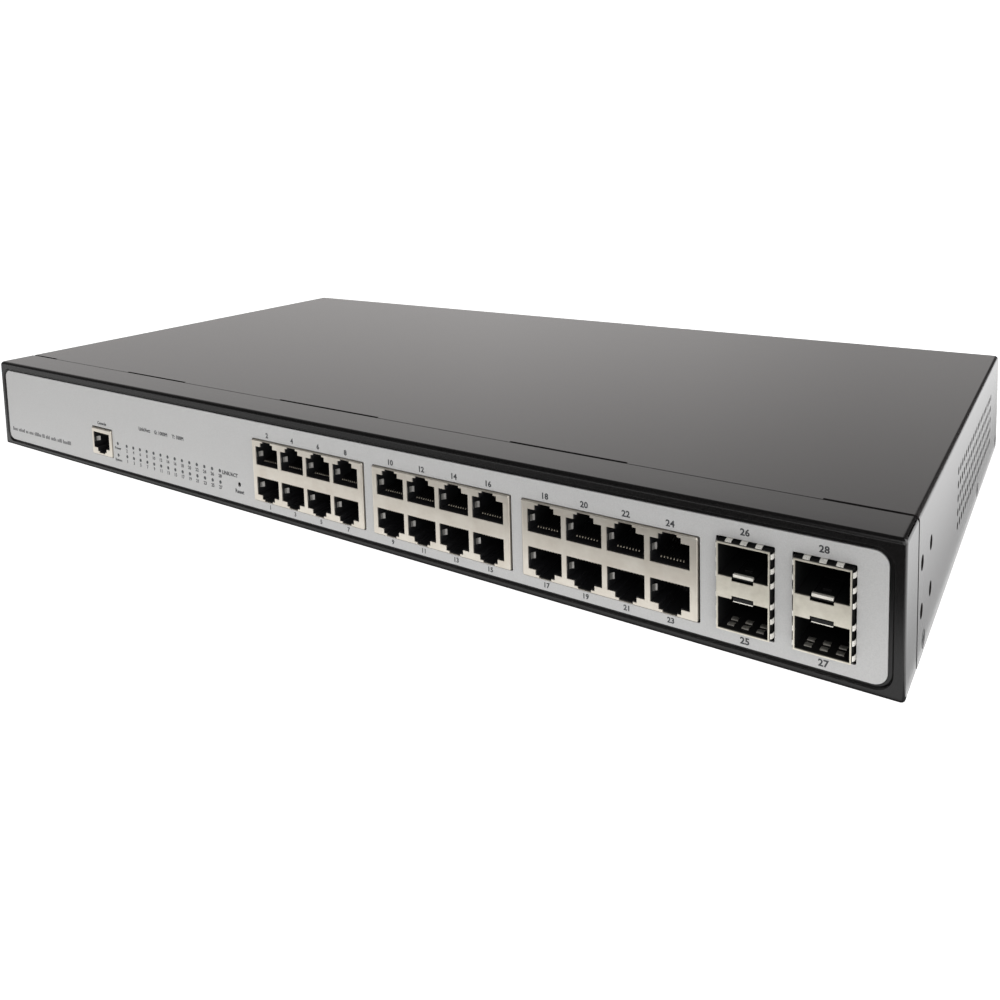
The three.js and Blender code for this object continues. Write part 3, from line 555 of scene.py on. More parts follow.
finishes = {
    "charcoal": powderCoat("charcoalCoat", dark=(0.016, 0.0145, 0.0145), light=(0.030, 0.027, 0.027),
                           grain=0.5, relief=0.03, strength=0.14, rough=0.22, gloss=0.5),
    "black": powderCoat("blackCoat", dark=(0.004, 0.0037, 0.0037), light=(0.010, 0.0093, 0.0093), grain=0.5,
                        relief=0.03, strength=0.14, rough=0.22, gloss=0.5),
    "film": satinFilm("silverFilm", dark=(0.495, 0.493, 0.488), light=(0.555, 0.553, 0.547), grain=0.35,
                      broad=40.0, relief=0.012, rough=0.42, metallic=0.28),
    "nickel": bareMetal("jackNickel", dark=(0.76, 0.70, 0.61), light=(0.86, 0.81, 0.72), cloud=7.0, line=0.5,
                        stretch=(0.15, 1.0, 1.0), rough=0.34, metallic=0.85),
    # painted shade: the cage's steel turns near black behind its mouth, standing in for the shade inside the
    # cage
    "cage": deepMetal("cageSteel", dark=(0.69, 0.65, 0.55), light=(0.86, 0.82, 0.71),
                      inner=(0.02, 0.02, 0.02), cloud=4.0, mouth=-120.9, deep=-120.3, rough=0.32,
                      metallic=0.6),
    "spring": bareMetal("springSteel", dark=(0.84, 0.82, 0.76), light=(0.93, 0.91, 0.86), cloud=2.0,
                        line=0.3, rough=0.3, metallic=0.45),
    # painted shade: the spring leaves are cut from the shield's nickel, but take this darker grey for the
    # shade inside the jacks
    "tab": bareMetal("tabSteel", dark=(0.34, 0.33, 0.31), light=(0.46, 0.45, 0.43), cloud=1.5, line=0.3,
                     rough=0.36, metallic=0.8),
    "floorSpring": bareMetal("floorSpringSteel", dark=(0.30, 0.29, 0.26), light=(0.46, 0.44, 0.40),
                             cloud=1.0, line=0.3, rough=0.3, metallic=0.5),
    # painted shade: the latch turns near black behind its lip and over a band round its middle height
    "latch": deepMetal("latchSteel", dark=(0.86, 0.83, 0.75), light=(0.95, 0.92, 0.85),
                       inner=(0.010, 0.010, 0.010), cloud=2.0, mouth=-119.9, deep=-119.0, rough=0.28,
                       metallic=0.35, shaded=(20.45, 3.5)),
    # painted shade: the contacts turn near black behind the jack's mouth, standing in for the shade inside
    # the jack
    "gold": deepMetal("contactGold", dark=(0.30, 0.27, 0.22), light=(0.44, 0.40, 0.33),
                      inner=(0.012, 0.011, 0.010), cloud=1.0, mouth=-117.3, deep=-117.0, rough=0.35,
                      metallic=0.9),
    "plastic": mouldedPlastic("blackPlastic", dark=(0.006, 0.006, 0.007), light=(0.012, 0.012, 0.013),
                              grain=0.4, rough=0.5),
    "zinc": bareMetal("zincScrew", dark=(0.52, 0.54, 0.57), light=(0.68, 0.70, 0.72), cloud=1.5, line=0.2,
                      rough=0.33, metallic=0.95),
    "blackScrew": bareMetal("blackScrew", dark=(0.020, 0.020, 0.022), light=(0.040, 0.040, 0.044), cloud=1.2,
                            line=0.2, rough=0.36, metallic=0.7),
    "board": mouldedPlastic("boardGreen", dark=(0.008, 0.055, 0.026), light=(0.014, 0.085, 0.042), grain=2.5,
                            rough=0.38),
    "lens": mouldedPlastic("lightLens", dark=(0.050, 0.054, 0.056), light=(0.085, 0.090, 0.092), grain=0.6,
                           rough=0.22),
    "guide": mouldedPlastic("clearPlastic", dark=(0.55, 0.57, 0.58), light=(0.66, 0.68, 0.70), grain=3.0,
                            rough=0.2),
    "fins": bareMetal("finAluminium", dark=(0.50, 0.51, 0.52), light=(0.62, 0.63, 0.65), cloud=4.0, line=0.4,
                      stretch=(1.0, 0.1, 1.0), rough=0.36, metallic=0.9),
    "tape": mouldedPlastic("windingTape", dark=(0.62, 0.42, 0.06), light=(0.76, 0.54, 0.10), grain=3.0,
                           rough=0.4),
    "sleeve": mouldedPlastic("capacitorSleeve", dark=(0.008, 0.018, 0.07), light=(0.014, 0.030, 0.11),
                             grain=5.0, rough=0.28),
    "wire": mouldedPlastic("wireJacket", dark=(0.30, 0.012, 0.010), light=(0.40, 0.020, 0.016), grain=2.0,
                           rough=0.4),
    "ink": mouldedPlastic("printInk", dark=(0.030, 0.032, 0.036), light=(0.045, 0.047, 0.050), grain=0.4,
                          rough=0.6),
    "paleInk": mouldedPlastic("titleInk", dark=(0.085, 0.085, 0.088), light=(0.12, 0.12, 0.124), grain=0.4,
                              rough=0.6),
    "whiteInk": mouldedPlastic("rearInk", dark=(0.50, 0.50, 0.50), light=(0.62, 0.62, 0.62), grain=0.4,
                               rough=0.6),
}
print("finishes made")
makeCamera()
makeStudio()
print("camera and studio made")


# outlines that the front shares

def jackOutline(x, flatZ, up, spare=0.0):
    half = jack["width"] / 2 - spare
    right = [(half, flatZ + up * spare), (half, flatZ + up * (jack["height"] - spare))]
    top = right[-1][1]
    for width, rise in jack["steps"]:
        right.append((width / 2 - spare, top))
        top += up * rise
        right.append((width / 2 - spare, top))
    left = [(-u, v) for u, v in reversed(right)]
    outline = [(x + u, v) for u, v in right + left]
    return outline if up > 0 else outline[::-1]


def jackPlaces():  # middle, level of the flat side, and the way that the notch faces
    places = []
    for centre in blockCentres:
        for column in range(4):
            x = centre + (column - 1.5) * jack["pitch"]
            places += [(x, blockMiddle + jack["band"] / 2, 1), (x, blockMiddle - jack["band"] / 2, -1)]
    return places


def lightPlaces():
    matrix = [(lights["firstX"] + i * lights["pitch"], z) for z in lights["rows"]
              for i in range(lights["columns"])]
    return matrix + [(lights["statusX"], z) for z in lights["statusRows"]]


# clearance left, right, below and above, then the corner radius
frontCuts = {"block": (0.3, 0.55, 0.3, 0.3, 0.5), "console": (0.35, 0.35, 0.3, 0.5, 0.4),
             "cage": (0, 0, 0, 0, 0.35)}


def frontCutter(back, front, spare=0.0, lightRadius=0.0, resetRadius=resetHole["radius"]):
    cutter = Parts()
    half = (blockHigh.x - blockLow.x) / 2
    openings = [("block", x - half, x + half, blockLow.z, blockHigh.z) for x in blockCentres]
    x, half = consoleJack["x"], consoleJack["halfWidth"]
    openings.append(("console", x - half, x + half, consoleJack["low"], consoleJack["high"]))
    half = cageCut["halfWidth"]
    openings += [("cage", x - half, x + half, cageCut["low"], cageCut["high"]) for x in cageCentres]
    for kind, x0, x1, z0, z1 in openings:
        left, right, below, above, radius = frontCuts[kind]
        outline = roundedOutline(x0 - left - spare, x1 + right + spare, z0 - below - spare,
                                 z1 + above + spare, radius, 2)
        cutter.prism(outline, back, front)
    cutter.prism(circle(resetHole["x"], resetHole["z"], resetRadius, 24), back, front)
    if lightRadius:
        for x, z in lightPlaces():
            cutter.prism(circle(x, z, lightRadius, 12), back, front)
    return cutter.piece("frontCutter", fixNormals=True)


# front panel: folded sheet with a pressed recess

bezel = {
    "cornerRadius": 1.7, "sideFold": 0.5, "lowFold": 0.3, "lowRadius": 0.7,
    "recessHalf": 217.2, "recessLow": 1.9, "recessHigh": 40.8, "recessRadius": 5.0, "recessDepth": 1.0,
    # out from the recess's outline, and behind the face or short of the floor
    "rim": ((0.2, 0.0), (0.08, 0.03), (0.0, 0.12)), "foot": ((-0.35, 0.15), (-0.45, 0.04), (-0.6, 0.0)),
    "slitWidth": 0.3, "slitLength": 13.5, "slitReach": (-1.6, 2.0), "slitCorner": 0.6,
    "lipScrewX": (-150, -50, 50, 150), "lipScrewInset": 6.0, "lipHole": 1.6, "holeSpare": (0.1, 1.0, 1.2),
}


def makeBezel():
    rings = []
    steps = 8

    def ring(inset, y, radius):
        side, low = inset * bezel["sideFold"], inset * bezel["lowFold"]
        lowRadius = min(radius, bezel["lowRadius"])
        outline = roundedOutline(-halfWidth + side, halfWidth - side, low, caseTop - inset, radius, steps,
                                 lowRadius)
        rings.append([(u, y, v) for u, v in outline])

    for y in (seamY, frontY + foldRadius + 8, frontY + foldRadius):
        ring(0, y, bezel["cornerRadius"])
    for k in range(1, 7):
        turn = math.radians(15 * k)
        inset = foldRadius * (1 - math.cos(turn))
        ring(inset, frontY + foldRadius * (1 - math.sin(turn)), max(bezel["cornerRadius"] - inset, 0.15))

    def press(out, y):
        half, low, high = bezel["recessHalf"] + out, bezel["recessLow"] - out, bezel["recessHigh"] + out
        outline = roundedOutline(-half, half, low, high, bezel["recessRadius"] + out, steps)
        rings.append([(u, y, v) for u, v in outline])

    floorY = frontY + bezel["recessDepth"]
    for out, deep in bezel["rim"]:
        press(out, frontY + deep)
    for out, short in bezel["foot"]:
        press(out, floorY - short)
    shell = Parts()
    shell.loft(rings, capStart=False)
    piece = thicken(shell.piece("bezel"), sheet)
    cutAway(piece, frontCutter(floorY + 4, frontY - 3, *bezel["holeSpare"]), tightFolds=True)
    slits = Parts()
    for side in (-1, 1):  # the folds meet in a slit at each upper corner
        corner = Vector((side * (halfWidth - bezel["slitCorner"]), caseTop - bezel["slitCorner"]))
        along = Vector((side, 1)).normalized()
        across = Vector((-1, side)).normalized() * bezel["slitWidth"] / 2
        near, far = (corner + along * reach for reach in bezel["slitReach"])
        outline = [tuple(c) for c in (near - across, far - across, far + across, near + across)]
        slits.prism(outline, seamY + 1, seamY - bezel["slitLength"])
    for x in bezel["lipScrewX"]:
        slits.prism(circle(x, seamY - bezel["lipScrewInset"], bezel["lipHole"], 20), -1, 2, "z")
    cutAway(piece, slits.piece("slits", fixNormals=True), tightFolds=True)
    shadeSmooth(wear(piece, finishes["black"]), 30)
    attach(piece, "chassis")
    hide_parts("front_panel")
    print("front panel made")


# silver plate, its print and its lenses

plateLook = {"halfWidth": 215.8, "low": 3.1, "high": 39.6, "radius": 3.8, "bevel": 0.12, "frontY": plateLow.y,
             "backY": plateHigh.y}
printLook = {
    "lift": 0.03, "portNumber": 2.0, "lowNumber": 1.7, "lightNumber": 1.5, "capHeight": 0.72, "weight": 0.042,
    "above": 2.25, "below": 1.95, "aboveCage": 2.3, "cageLowZ": 4.9, "underLight": 2.3, "legendZ": 25.0,
}
captions = (  # word, middle, height of the line and of the letters
    ("Power", lights["statusX"], lights["statusRows"][0] - printLook["underLight"], 1.3),
    ("System", lights["statusX"], lights["statusRows"][1] - printLook["underLight"], 1.3),
    ("Console", consoleJack["x"], consoleJack["high"] + 2.4, 1.5),
    ("Reset", resetHole["x"], resetHole["z"] - 3.1, 1.7),
    ("LINK/ACT", -40.0, 14.6, 1.6),
)
legend = (("Link/Act:", -101.8), ("G: 1000M", -90.4), ("Y: 100M", -77.6))  # word and where it starts
title = {"x": (-212.5, -162.5), "z": 8.0, "letter": (0.5, 0.95), "heights": (1.3, 1.3, 1.4, 1.9),
         "gap": 0.34, "space": 0.9}


def makePlate():
    def ring(inset, y):
        half = plateLook["halfWidth"] - inset
        outline = roundedOutline(-half, half, plateLook["low"] + inset, plateLook["high"] - inset,
                                 plateLook["radius"] - inset, 8)
        return [(u, y, v) for u, v in outline]

    body = Parts()
    bevel, front = plateLook["bevel"], plateLook["frontY"]
    rounding = [(0, plateLook["backY"]), (0, front + bevel), (bevel * 0.3, front + bevel * 0.3),
                (bevel, front)]
    body.loft([ring(inset, y) for inset, y in rounding])
    piece = body.piece("silverPlate")
    cutAway(piece, frontCutter(plateLook["backY"] + 2, front - 2))
    shadeSmooth(wear(piece, finishes["film"]), 35)
    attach(piece, "chassis")
    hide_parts("front_plate")
    print("silver plate made")


def addWords(parts, words, x, z, height, align="CENTER"):
    curve = bpy.data.curves.new("words", "FONT")
    curve.body, curve.size = words, height * mm / printLook["capHeight"]
    curve.extrude, curve.resolution_u = printLook["lift"] * mm, 2
    curve.align_x, curve.align_y = align, "CENTER"
    curve.offset = height * mm * printLook["weight"]
    flat = link(bpy.data.objects.new("words", curve))
    bpy.context.view_layer.update()
    graph = bpy.context.evaluated_depsgraph_get()
    mesh = bpy.data.meshes.new_from_object(flat.evaluated_get(graph))
    drop(flat)
    place = Vector((x, plateLook["frontY"], z)) * mm
    mesh.transform(Matrix.Translation(place) @ Matrix.Rotation(math.pi / 2, 4, "X"))
    parts.add(mesh)


def addMark(parts, outline):  # a flat printed shape on the plate
    parts.prism(outline, plateLook["frontY"] + 0.02, plateLook["frontY"] - printLook["lift"])


def bar(x0, x1, z0, z1):
    return [(x1, z0), (x1, z1), (x0, z1), (x0, z0)]


def makePrint():
    ink = Parts()
    for block, centre in enumerate(blockCentres):
        for column in range(4):
            x = centre + (column - 1.5) * jack["pitch"]
            odd = 8 * block + 2 * column + 1
            addWords(ink, str(odd + 1), x, blockHigh.z + printLook["above"], printLook["portNumber"])
            addWords(ink, str(odd), x, blockLow.z - printLook["below"], printLook["lowNumber"])
    for k, centre in enumerate(cageCentres):
        addWords(ink, str(26 + 2 * k), centre, cageCut["high"] + printLook["aboveCage"],
                 printLook["portNumber"])
        addWords(ink, str(25 + 2 * k), centre, printLook["cageLowZ"], printLook["portNumber"])
    for i in range(lights["columns"]):
        x = lights["firstX"] + i * lights["pitch"]
        for row, z in enumerate(lights["rows"]):
            addWords(ink, str(2 * i + 2 - row), x, z - printLook["underLight"], printLook["lightNumber"])
    for caption in captions:
        addWords(ink, *caption)
    for words, x in legend:
        addWords(ink, words, x, printLook["legendZ"], 1.7, "LEFT")
    draw, bars = random.Random(7), Parts()  # a line of small bars where the real one has its title
    x, z = title["x"][0], title["z"]
    while x < title["x"][1]:
        for letter in range(draw.randint(2, 7)):
            width = draw.uniform(*title["letter"])
            addMark(bars, bar(x, x + width, z, z + draw.choice(title["heights"])))
            x += width + title["gap"]
        x += title["space"]
    for name, parts, finish in (("frontPrint", ink, "ink"), ("titlePrint", bars, "paleInk")):
        piece = parts.piece(name, finishes[finish])
        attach(piece, "chassis")
    print("print made")


lens = {"Radius": 0.78, "Height": 0.16}


def makeLenses():
    sizes = inMetres(lens)
    tree, given, exits = startTree("lightLenses", {**sizes, "Material": None})
    ball = addNode(tree, "GeometryNodeMeshUVSphere", {"Segments": 16, "Rings": 8, "Radius": 1.0})
    size = vector(tree, {0: given["Radius"], 1: given["Height"], 2: given["Radius"]})
    points = addNode(tree, "GeometryNodeMeshToPoints", {0: given["Geometry"]})
    endTree(tree, scatter(tree, points.outputs[0], ball.outputs[0], Scale=size), given, exits)
    places = placesPiece("lightLenses", [(x, plateLook["frontY"], z) for x, z in lightPlaces()])
    piece = grow(places, tree, sizes, finishes["lens"])
    shadeSmooth(piece, 60)
    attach(piece, "chassis")
    print("lenses made")


# cover: one folded sheet with tongues, perforations and a rear lip

cover = {
    "frontEdge": seamY + 1.5, "sideLow": 0.3, "lipDepth": 7.5,
    "tongues": ((-197, -134), (-90, -27), (28, 89), (134, 195)),
    "earHoles": ((24.2, 28.5), (39.7, 28.5), (24.2, 14.5), (39.7, 14.5)), "earRadius": 2.25,
    # how far behind the seam and how far below the top
    "tongueDip": ((0.5, 0.0), (0.34, 0.1), (0.2, 0.4), (0.06, 0.9), (-0.1, 1.25), (-0.5, 1.35), (-9, 1.35)),
    "sideScrews": (28.5, 161, 233.5), "sideScrewZ": 4.4, "rearScrews": (-196, 0, 196), "rearScrewZ": 40,
    "countersink": ((0.1, 3.0), (-0.9, 1.6), (-3, 1.6)),  # how far out of the wall, and the radius there
}
vents = {"Radius": 1.45, "PitchY": 5.375, "PitchZ": 4.92, "Columns": 21, "Rows": 5, "FirstY": 100.0,
         "LowZ": 11.5, "Reach": 448.0}


def makeCover():
    sheetParts = Parts()
    cornerSteps, bend = 6, foldRadius
    xs = [-halfWidth + bend] + [x for pair in cover["tongues"] for x in pair] + [halfWidth - bend]
    path = [(-halfWidth, cover["sideLow"]), (-halfWidth, caseTop - bend)]  # the section, from left to right
    for k in range(1, cornerSteps):
        turn = math.radians(90 * k / cornerSteps)
        path.append((-halfWidth + bend * (1 - math.cos(turn)), caseTop - bend * (1 - math.sin(turn))))
    path += [(x, caseTop) for x in xs]
    path += [(-x, z) for x, z in reversed(path[:1 + cornerSteps])]
    rows = [cover["frontEdge"], cover["frontEdge"] + 12, rearY - bend]
    points = [(x, y, z) for y in rows for x, z in path]
    count = len(path)
    faces = []
    for r in range(len(rows) - 1):
        for c in range(count - 1):
            a, b = r * count + c, (r + 1) * count + c
            faces.append((a, b, b + 1, a + 1))
    end = len(points)  # the sides run on to the rear
    last = (len(rows) - 1) * count
    points += [(-halfWidth, rearY - 0.05, cover["sideLow"]), (-halfWidth, rearY - 0.05, caseTop - bend - 0.4)]
    points += [(-x, y, z) for x, y, z in points[-2:]]
    faces += [(last, end, end + 1, last + 1), (last + count - 2, end + 3, end + 2, last + count - 1)]
    first = 2 + cornerSteps - 1  # the first column of the flat top
    columns = list(range(first, first + len(xs)))
    ring = [last + c for c in columns]
    for k in range(1, 8):
        turn = math.radians(min(15 * k, 90))
        y, z = rearY - bend * (1 - math.sin(turn)), caseTop - bend * (1 - math.cos(turn))
        z = caseTop - cover["lipDepth"] if k == 7 else z
        base = len(points)
        points += [(x, y, z) for x in xs]
        for i in range(len(xs) - 1):
            faces.append((ring[i], base + i, base + i + 1, ring[i + 1]))
        ring = list(range(base, base + len(xs)))
    for k, (x0, x1) in enumerate(cover["tongues"]):  # each tongue dips under the front panel's flange
        i = first + 1 + 2 * k
        edge = [i, i + 1]
        for behind, below in cover["tongueDip"]:
            base, y, z = len(points), seamY + behind, caseTop - below
            points += [(x0, y, z), (x1, y, z)]
            faces.append((base, edge[0], edge[1], base + 1))
            edge = [base, base + 1]
    sheetParts.points, sheetParts.faces = points, [face[::-1] for face in faces]
    piece = thicken(sheetParts.piece("topCover"), sheet)
    holes = Parts()
    for side in (-1, 1):
        ends = (side * (halfWidth + 2), side * (halfWidth - 3))
        for y, z in cover["earHoles"]:
            holes.prism(circle(frontY + y, z, cover["earRadius"], 28), ends[0], ends[1], "x")
        for y in cover["sideScrews"]:
            holes.loft([[(side * (halfWidth + out), u, v)
                         for u, v in circle(frontY + y, cover["sideScrewZ"], radius, 24)]
                        for out, radius in cover["countersink"]])
    for x in cover["rearScrews"]:
        holes.loft([[(u, rearY + out, v) for u, v in circle(x, cover["rearScrewZ"], radius, 24)]
                    for out, radius in cover["countersink"]])
    cutAway(piece, holes.piece("coverHoles", fixNormals=True))
    perforate(piece)
    shadeSmooth(wear(piece, finishes["charcoal"]), 30)
    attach(piece, "chassis")
    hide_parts("top_cover")
    print("cover made")


def perforate(piece):  # rows of round holes through both sides
    sizes = inMetres(vents)
    tree, given, exits = startTree("perforations", {**sizes, "Material": None})
    punch = addNode(tree, "GeometryNodeMeshCylinder",
                    {"Vertices": 16, "Radius": given["Radius"], "Depth": given["Reach"]},
                    fill_type="NGON")
    lying = addNode(tree, "GeometryNodeTransform",
                    {"Geometry": punch.outputs[0], "Rotation": (0, math.pi / 2, 0)})
    start = vector(tree, {1: reckon(tree, frontY * mm, given["FirstY"], "ADD"), 2: given["LowZ"]})
    row = addNode(tree, "GeometryNodeMeshLine", {"Count": given["Columns"], "Start Location": start,
                                                 "Offset": vector(tree, {1: given["PitchY"]})})
    column = addNode(tree, "GeometryNodeMeshLine",
                     {"Count": given["Rows"], "Offset": vector(tree, {2: given["PitchZ"]})})
    spots = addNode(tree, "GeometryNodeRealizeInstances",
                    {0: scatter(tree, column.outputs[0], row.outputs[0])})
    solid = addNode(tree, "GeometryNodeRealizeInstances",
                    {0: scatter(tree, spots.outputs[0], lying.outputs[0])})
    cut = addNode(tree, "GeometryNodeMeshBoolean", {"Mesh 1": given["Geometry"], "Mesh 2": solid.outputs[0]},
                  operation="DIFFERENCE")
    endTree(tree, cut.outputs[0], given, exits)
    grow(piece, tree, sizes, finishes["charcoal"])


# jack shields, with their windows, and what is inside the jacks

shield = {"wall": 0.4, "edge": 0.5, "corner": 0.55, "blockDepth": 27.0, "windowEdge": 0.09}


def foldedShield(name, x0, x1, z0, z1, depth, windows, node):
    edge, rings = shield["edge"], []
    turns = [math.radians(22.5 * k) for k in range(5)]
    rounding = [(edge * (1 - math.sin(turn)), edge * (1 - math.cos(turn))) for turn in turns]
    for back, inset in [(depth, 0.0)] + rounding:
        y, radius = jackFrontY + back, max(shield["corner"] - inset, 0.08)
        outline = roundedOutline(x0 + inset, x1 - inset, z0 + inset, z1 - inset, radius, 4)
        rings.append([(u, y, v) for u, v in outline])
    shell = Parts()
    shell.loft(rings, capStart=False)
    piece = thicken(shell.piece(name), shield["wall"])
    cutter = Parts()
    for x, flatZ, up in windows:
        cutter.prism(jackOutline(x, flatZ, up), jackFrontY + 2, jackFrontY - 1)
    cutAway(piece, cutter.piece("windows", fixNormals=True))
    rollEdges(piece, shield["windowEdge"], 1, 60)
    shadeSmooth(wear(piece, finishes["nickel"]), 50)
    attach(piece, "chassis")
    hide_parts(node)
    return piece


tab = {"Height": 2.1, "Depth": 4.6, "Bulge": 0.95, "Thickness": 0.18}
tabCurve = {"Start": (-0.12, 0.04), "Start Handle": (0.30, 0.42), "End Handle": (0.58, 0.50),
            "End": (1.16, 0.58)}  # of bulge and depth


def makeTabs():  # the shield's spring leaves, folded in at both sides of every jack
    tree, given, exits = startTree("springLeaves", {**inMetres(tab), "Material": None})
    curve = {key: vector(tree, {0: reckon(tree, given["Bulge"], across),
                                1: reckon(tree, given["Depth"], along)})
             for key, (across, along) in tabCurve.items()}
    leaf = sweptStrip(tree, curve, given["Thickness"], given["Height"], 8)
    endTree(tree, scatter(tree, given["Geometry"], leaf, Scale=named(tree, "side")), given, exits)
    spots, sides = [], []
    for x, flatZ, up in jackPlaces() + [(consoleJack["x"], consoleJack["flatZ"], -1)]:
        for side in (-1, 1):
            spots.append((x + side * jack["width"] / 2, jackFrontY + 0.25,
                          flatZ + up * jack["height"] * 0.52))
            sides.append((-side, 1, 1))
    piece = grow(placesPiece("springLeaves", spots, {"side": sides}), tree, {}, finishes["tab"])
    shadeSmooth(outwards(piece), 40)
    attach(piece, "chassis")


wires = {"Count": 8, "Pitch": 1.016, "Width": 0.36, "Thickness": 0.26}
wireCurve = {"Start": (0, 2.2, 0.8), "Start Handle": (0, 2.0, 1.4), "End Handle": (0, 7.0, 2.2),
             "End": (0, 14.5, 4.2)}


def makeContacts():  # eight sprung wires in every jack
    sizes = inMetres(wires)
    tree, given, exits = startTree("contactWires", {**sizes, "Material": None})
    wire = sweptStrip(tree, bezier(wireCurve), given["Width"], given["Thickness"], 7)
    span = reckon(tree, reckon(tree, given["Count"], 1.0, "SUBTRACT"), given["Pitch"])
    line = addNode(tree, "GeometryNodeMeshLine",
                   {"Count": given["Count"], "Start Location": vector(tree, {0: reckon(tree, span, -0.5)}),
                    "Offset": vector(tree, {0: given["Pitch"]})})
    comb = scatter(tree, line.outputs[0], wire)
    endTree(tree, scatter(tree, given["Geometry"], comb, Scale=named(tree, "side")), given, exits)
    jacks = jackPlaces() + [(consoleJack["x"], consoleJack["flatZ"], -1)]
    spots = [(x, jackFrontY, flatZ + up * 0.35) for x, flatZ, up in jacks]
    flips = {"side": [(1, 1, up) for x, flatZ, up in jacks]}
    piece = grow(placesPiece("contactWires", spots, flips), tree, sizes, finishes["gold"])
    outwards(piece)
    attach(piece, "chassis")


def makeJacks():
    for k, centre in enumerate(blockCentres):
        half = (blockHigh.x - blockLow.x) / 2
        windows = [place for place in jackPlaces() if abs(place[0] - centre) < half]
        foldedShield(f"portShield{k + 1}", centre - half, centre + half, blockLow.z, blockHigh.z,
                     shield["blockDepth"], windows, f"port_shield_{k + 1}")
    x, half = consoleJack["x"], consoleJack["halfWidth"]
    foldedShield("consoleShield", x - half, x + half, consoleJack["low"], consoleJack["high"],
                 consoleJack["depth"], [(x, consoleJack["flatZ"], -1)], "console_shield")
    makeTabs()
    makeContacts()
    print("jacks made")


# cages: spring gasket and floor springs

gasket = {"Width": 1.8, "Thickness": 0.12, "ringFront": -119.3, "ringDepth": 9.0,
          "topFingers": (-4.3, 0.0, 4.3),
          "sideFingers": (-11.4, -7.2, -3.0, 3.0, 7.2, 11.4), "sideWidth": 1.5, "band": (0.1, 0.26)}
fingerCurve = {"Start": (0, -1.4, 0.05), "Start Handle": (0, -1.5, 0.6), "End Handle": (0, 1.2, 0.9),
               "End": (0, 6.8, 0.22)}


def makeFingerTree():
    sizes = inMetres({key: gasket[key] for key in ("Width", "Thickness")})
    tree, given, exits = startTree("gasketFingers", {**sizes, "Material": None})
    finger = sweptStrip(tree, bezier(fingerCurve), given["Width"], given["Thickness"], 8)
    fingers = scatter(tree, given["Geometry"], finger, Rotation=named(tree, "turn"),
                      Scale=named(tree, "size"))
    endTree(tree, fingers, given, exits)
    return tree


def makeGasket(k, centre, tree):
    spots, turns, widths = [], [], []
    halfX, halfZ = (cageHigh.x - cageLow.x) / 2, (cageHigh.z - cageLow.z) / 2
    for u in gasket["topFingers"]:
        for side in (1, -1):
            spots.append((centre + u, frontY, cageMiddle + side * (halfZ + 0.1)))
            turns.append((0.0, 0.0 if side > 0 else math.pi, 0.0))
            widths.append((1.0, 1.0, 1.0))
    for v in gasket["sideFingers"]:
        for side in (1, -1):
            spots.append((centre + side * (halfX + 0.1), frontY, cageMiddle + v))
            turns.append((0.0, side * math.pi / 2, 0.0))
            widths.append((gasket["sideWidth"] / gasket["Width"], 1.0, 1.0))
    piece = grow(placesPiece(f"cageGasket{k}", spots, {"turn": turns, "size": widths}), tree, {},
                 finishes["spring"])
    ring = Parts()
    front, back = gasket["ringFront"], gasket["ringFront"] + gasket["ringDepth"]
    inner, outer = gasket["band"]
    loops = []
    for y, out in ((front, inner), (back, inner), (back, outer), (front, outer), (front, inner)):
        x, z = halfX + out, halfZ + out
        outline = roundedOutline(centre - x, centre + x, cageMiddle - z, cageMiddle + z, 0.3, 2)
        loops.append([(u, y, v) for u, v in outline])
    ring.loft(loops, capStart=False, capEnd=False)
    # the ring lies behind the cage finish's mouth, so it takes that finish's painted shade
    band = ring.piece("band", finishes["cage"], fixNormals=True)
    outwards(piece)
    mergePieces(piece, band)
    shadeSmooth(piece, 40)
    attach(piece, "chassis")
    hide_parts(f"sfp_gasket_{k}")


floorSprings = {"across": (-4.2, 0.0, 4.2), "frontY": (-118.2, -114.9), "lift": 0.45,
                "scale": (1.1, 0.26, 0.55)}


def makeFloorSprings(tree):  # leaves on the floor of each lower port
    spots = [(centre + u, y, cageLow.z + floorSprings["lift"])
             for centre in cageCentres for u in floorSprings["across"] for y in floorSprings["frontY"]]
    attributes = {"turn": [(0.0, 0.0, 0.0)] * len(spots), "size": [floorSprings["scale"]] * len(spots)}
    piece = grow(placesPiece("cageFloorSprings", spots, attributes), tree, {}, finishes["floorSpring"])
    shadeSmooth(outwards(piece), 40)
    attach(piece, "chassis")


def mergePieces(piece, *others):
    work = bmesh.new()
    work.from_mesh(piece.data)
    for other in others:
        extra = other.data.copy()
        index = len(piece.data.materials)
        piece.data.materials.append(extra.materials[0])
        for face in extra.polygons:
            face.material_index = index
        work.from_mesh(extra)
        drop(other)
    work.to_mesh(piece.data)
    work.free()


# screws

screws = {
    "flush": {"headRadius": 2.7, "shankRadius": 1.35, "headHeight": 0.85, "length": 4.4, "crossReach": 1.55,
              "dome": 0.12},
    "lip": {"headRadius": 2.6, "shankRadius": 1.2, "headHeight": 0.8, "length": 3.4, "crossReach": 1.4,
            "dome": 0.0},
    "sunk": 0.15, "inletReach": 20,
}


def screwBody(headRadius, shankRadius, headHeight, length, crossReach, dome, sides=28):
    body = Parts()
    profile = [(0.02, -length), (shankRadius, -length), (shankRadius, -headHeight), (headRadius, -0.12),
               (headRadius, 0.0)]
    profile += [(headRadius * out, dome * high) for out, high in ((0.9, 0.45), (0.6, 0.85), (0.3, 1.0))]
    body.loft([[(u, v, z) for u, v in circle(0, 0, r, sides)] for r, z in profile])
    piece = body.piece("screw", fixNormals=True)
    arm, half, taper = crossReach, crossReach * 0.2, 0.55
    upright = [(half, -arm), (half, arm), (-half, arm), (-half, -arm)]
    for ring in (upright, [(v, -u) for u, v in upright]):
        groove = Parts()
        groove.loft([[(u * taper, v * taper, -headHeight * 0.95) for u, v in ring],
                     [(u, v, dome + 0.2) for u, v in ring]])
        cutAway(piece, groove.piece("groove", fixNormals=True))
    return shadeSmooth(piece, 35)


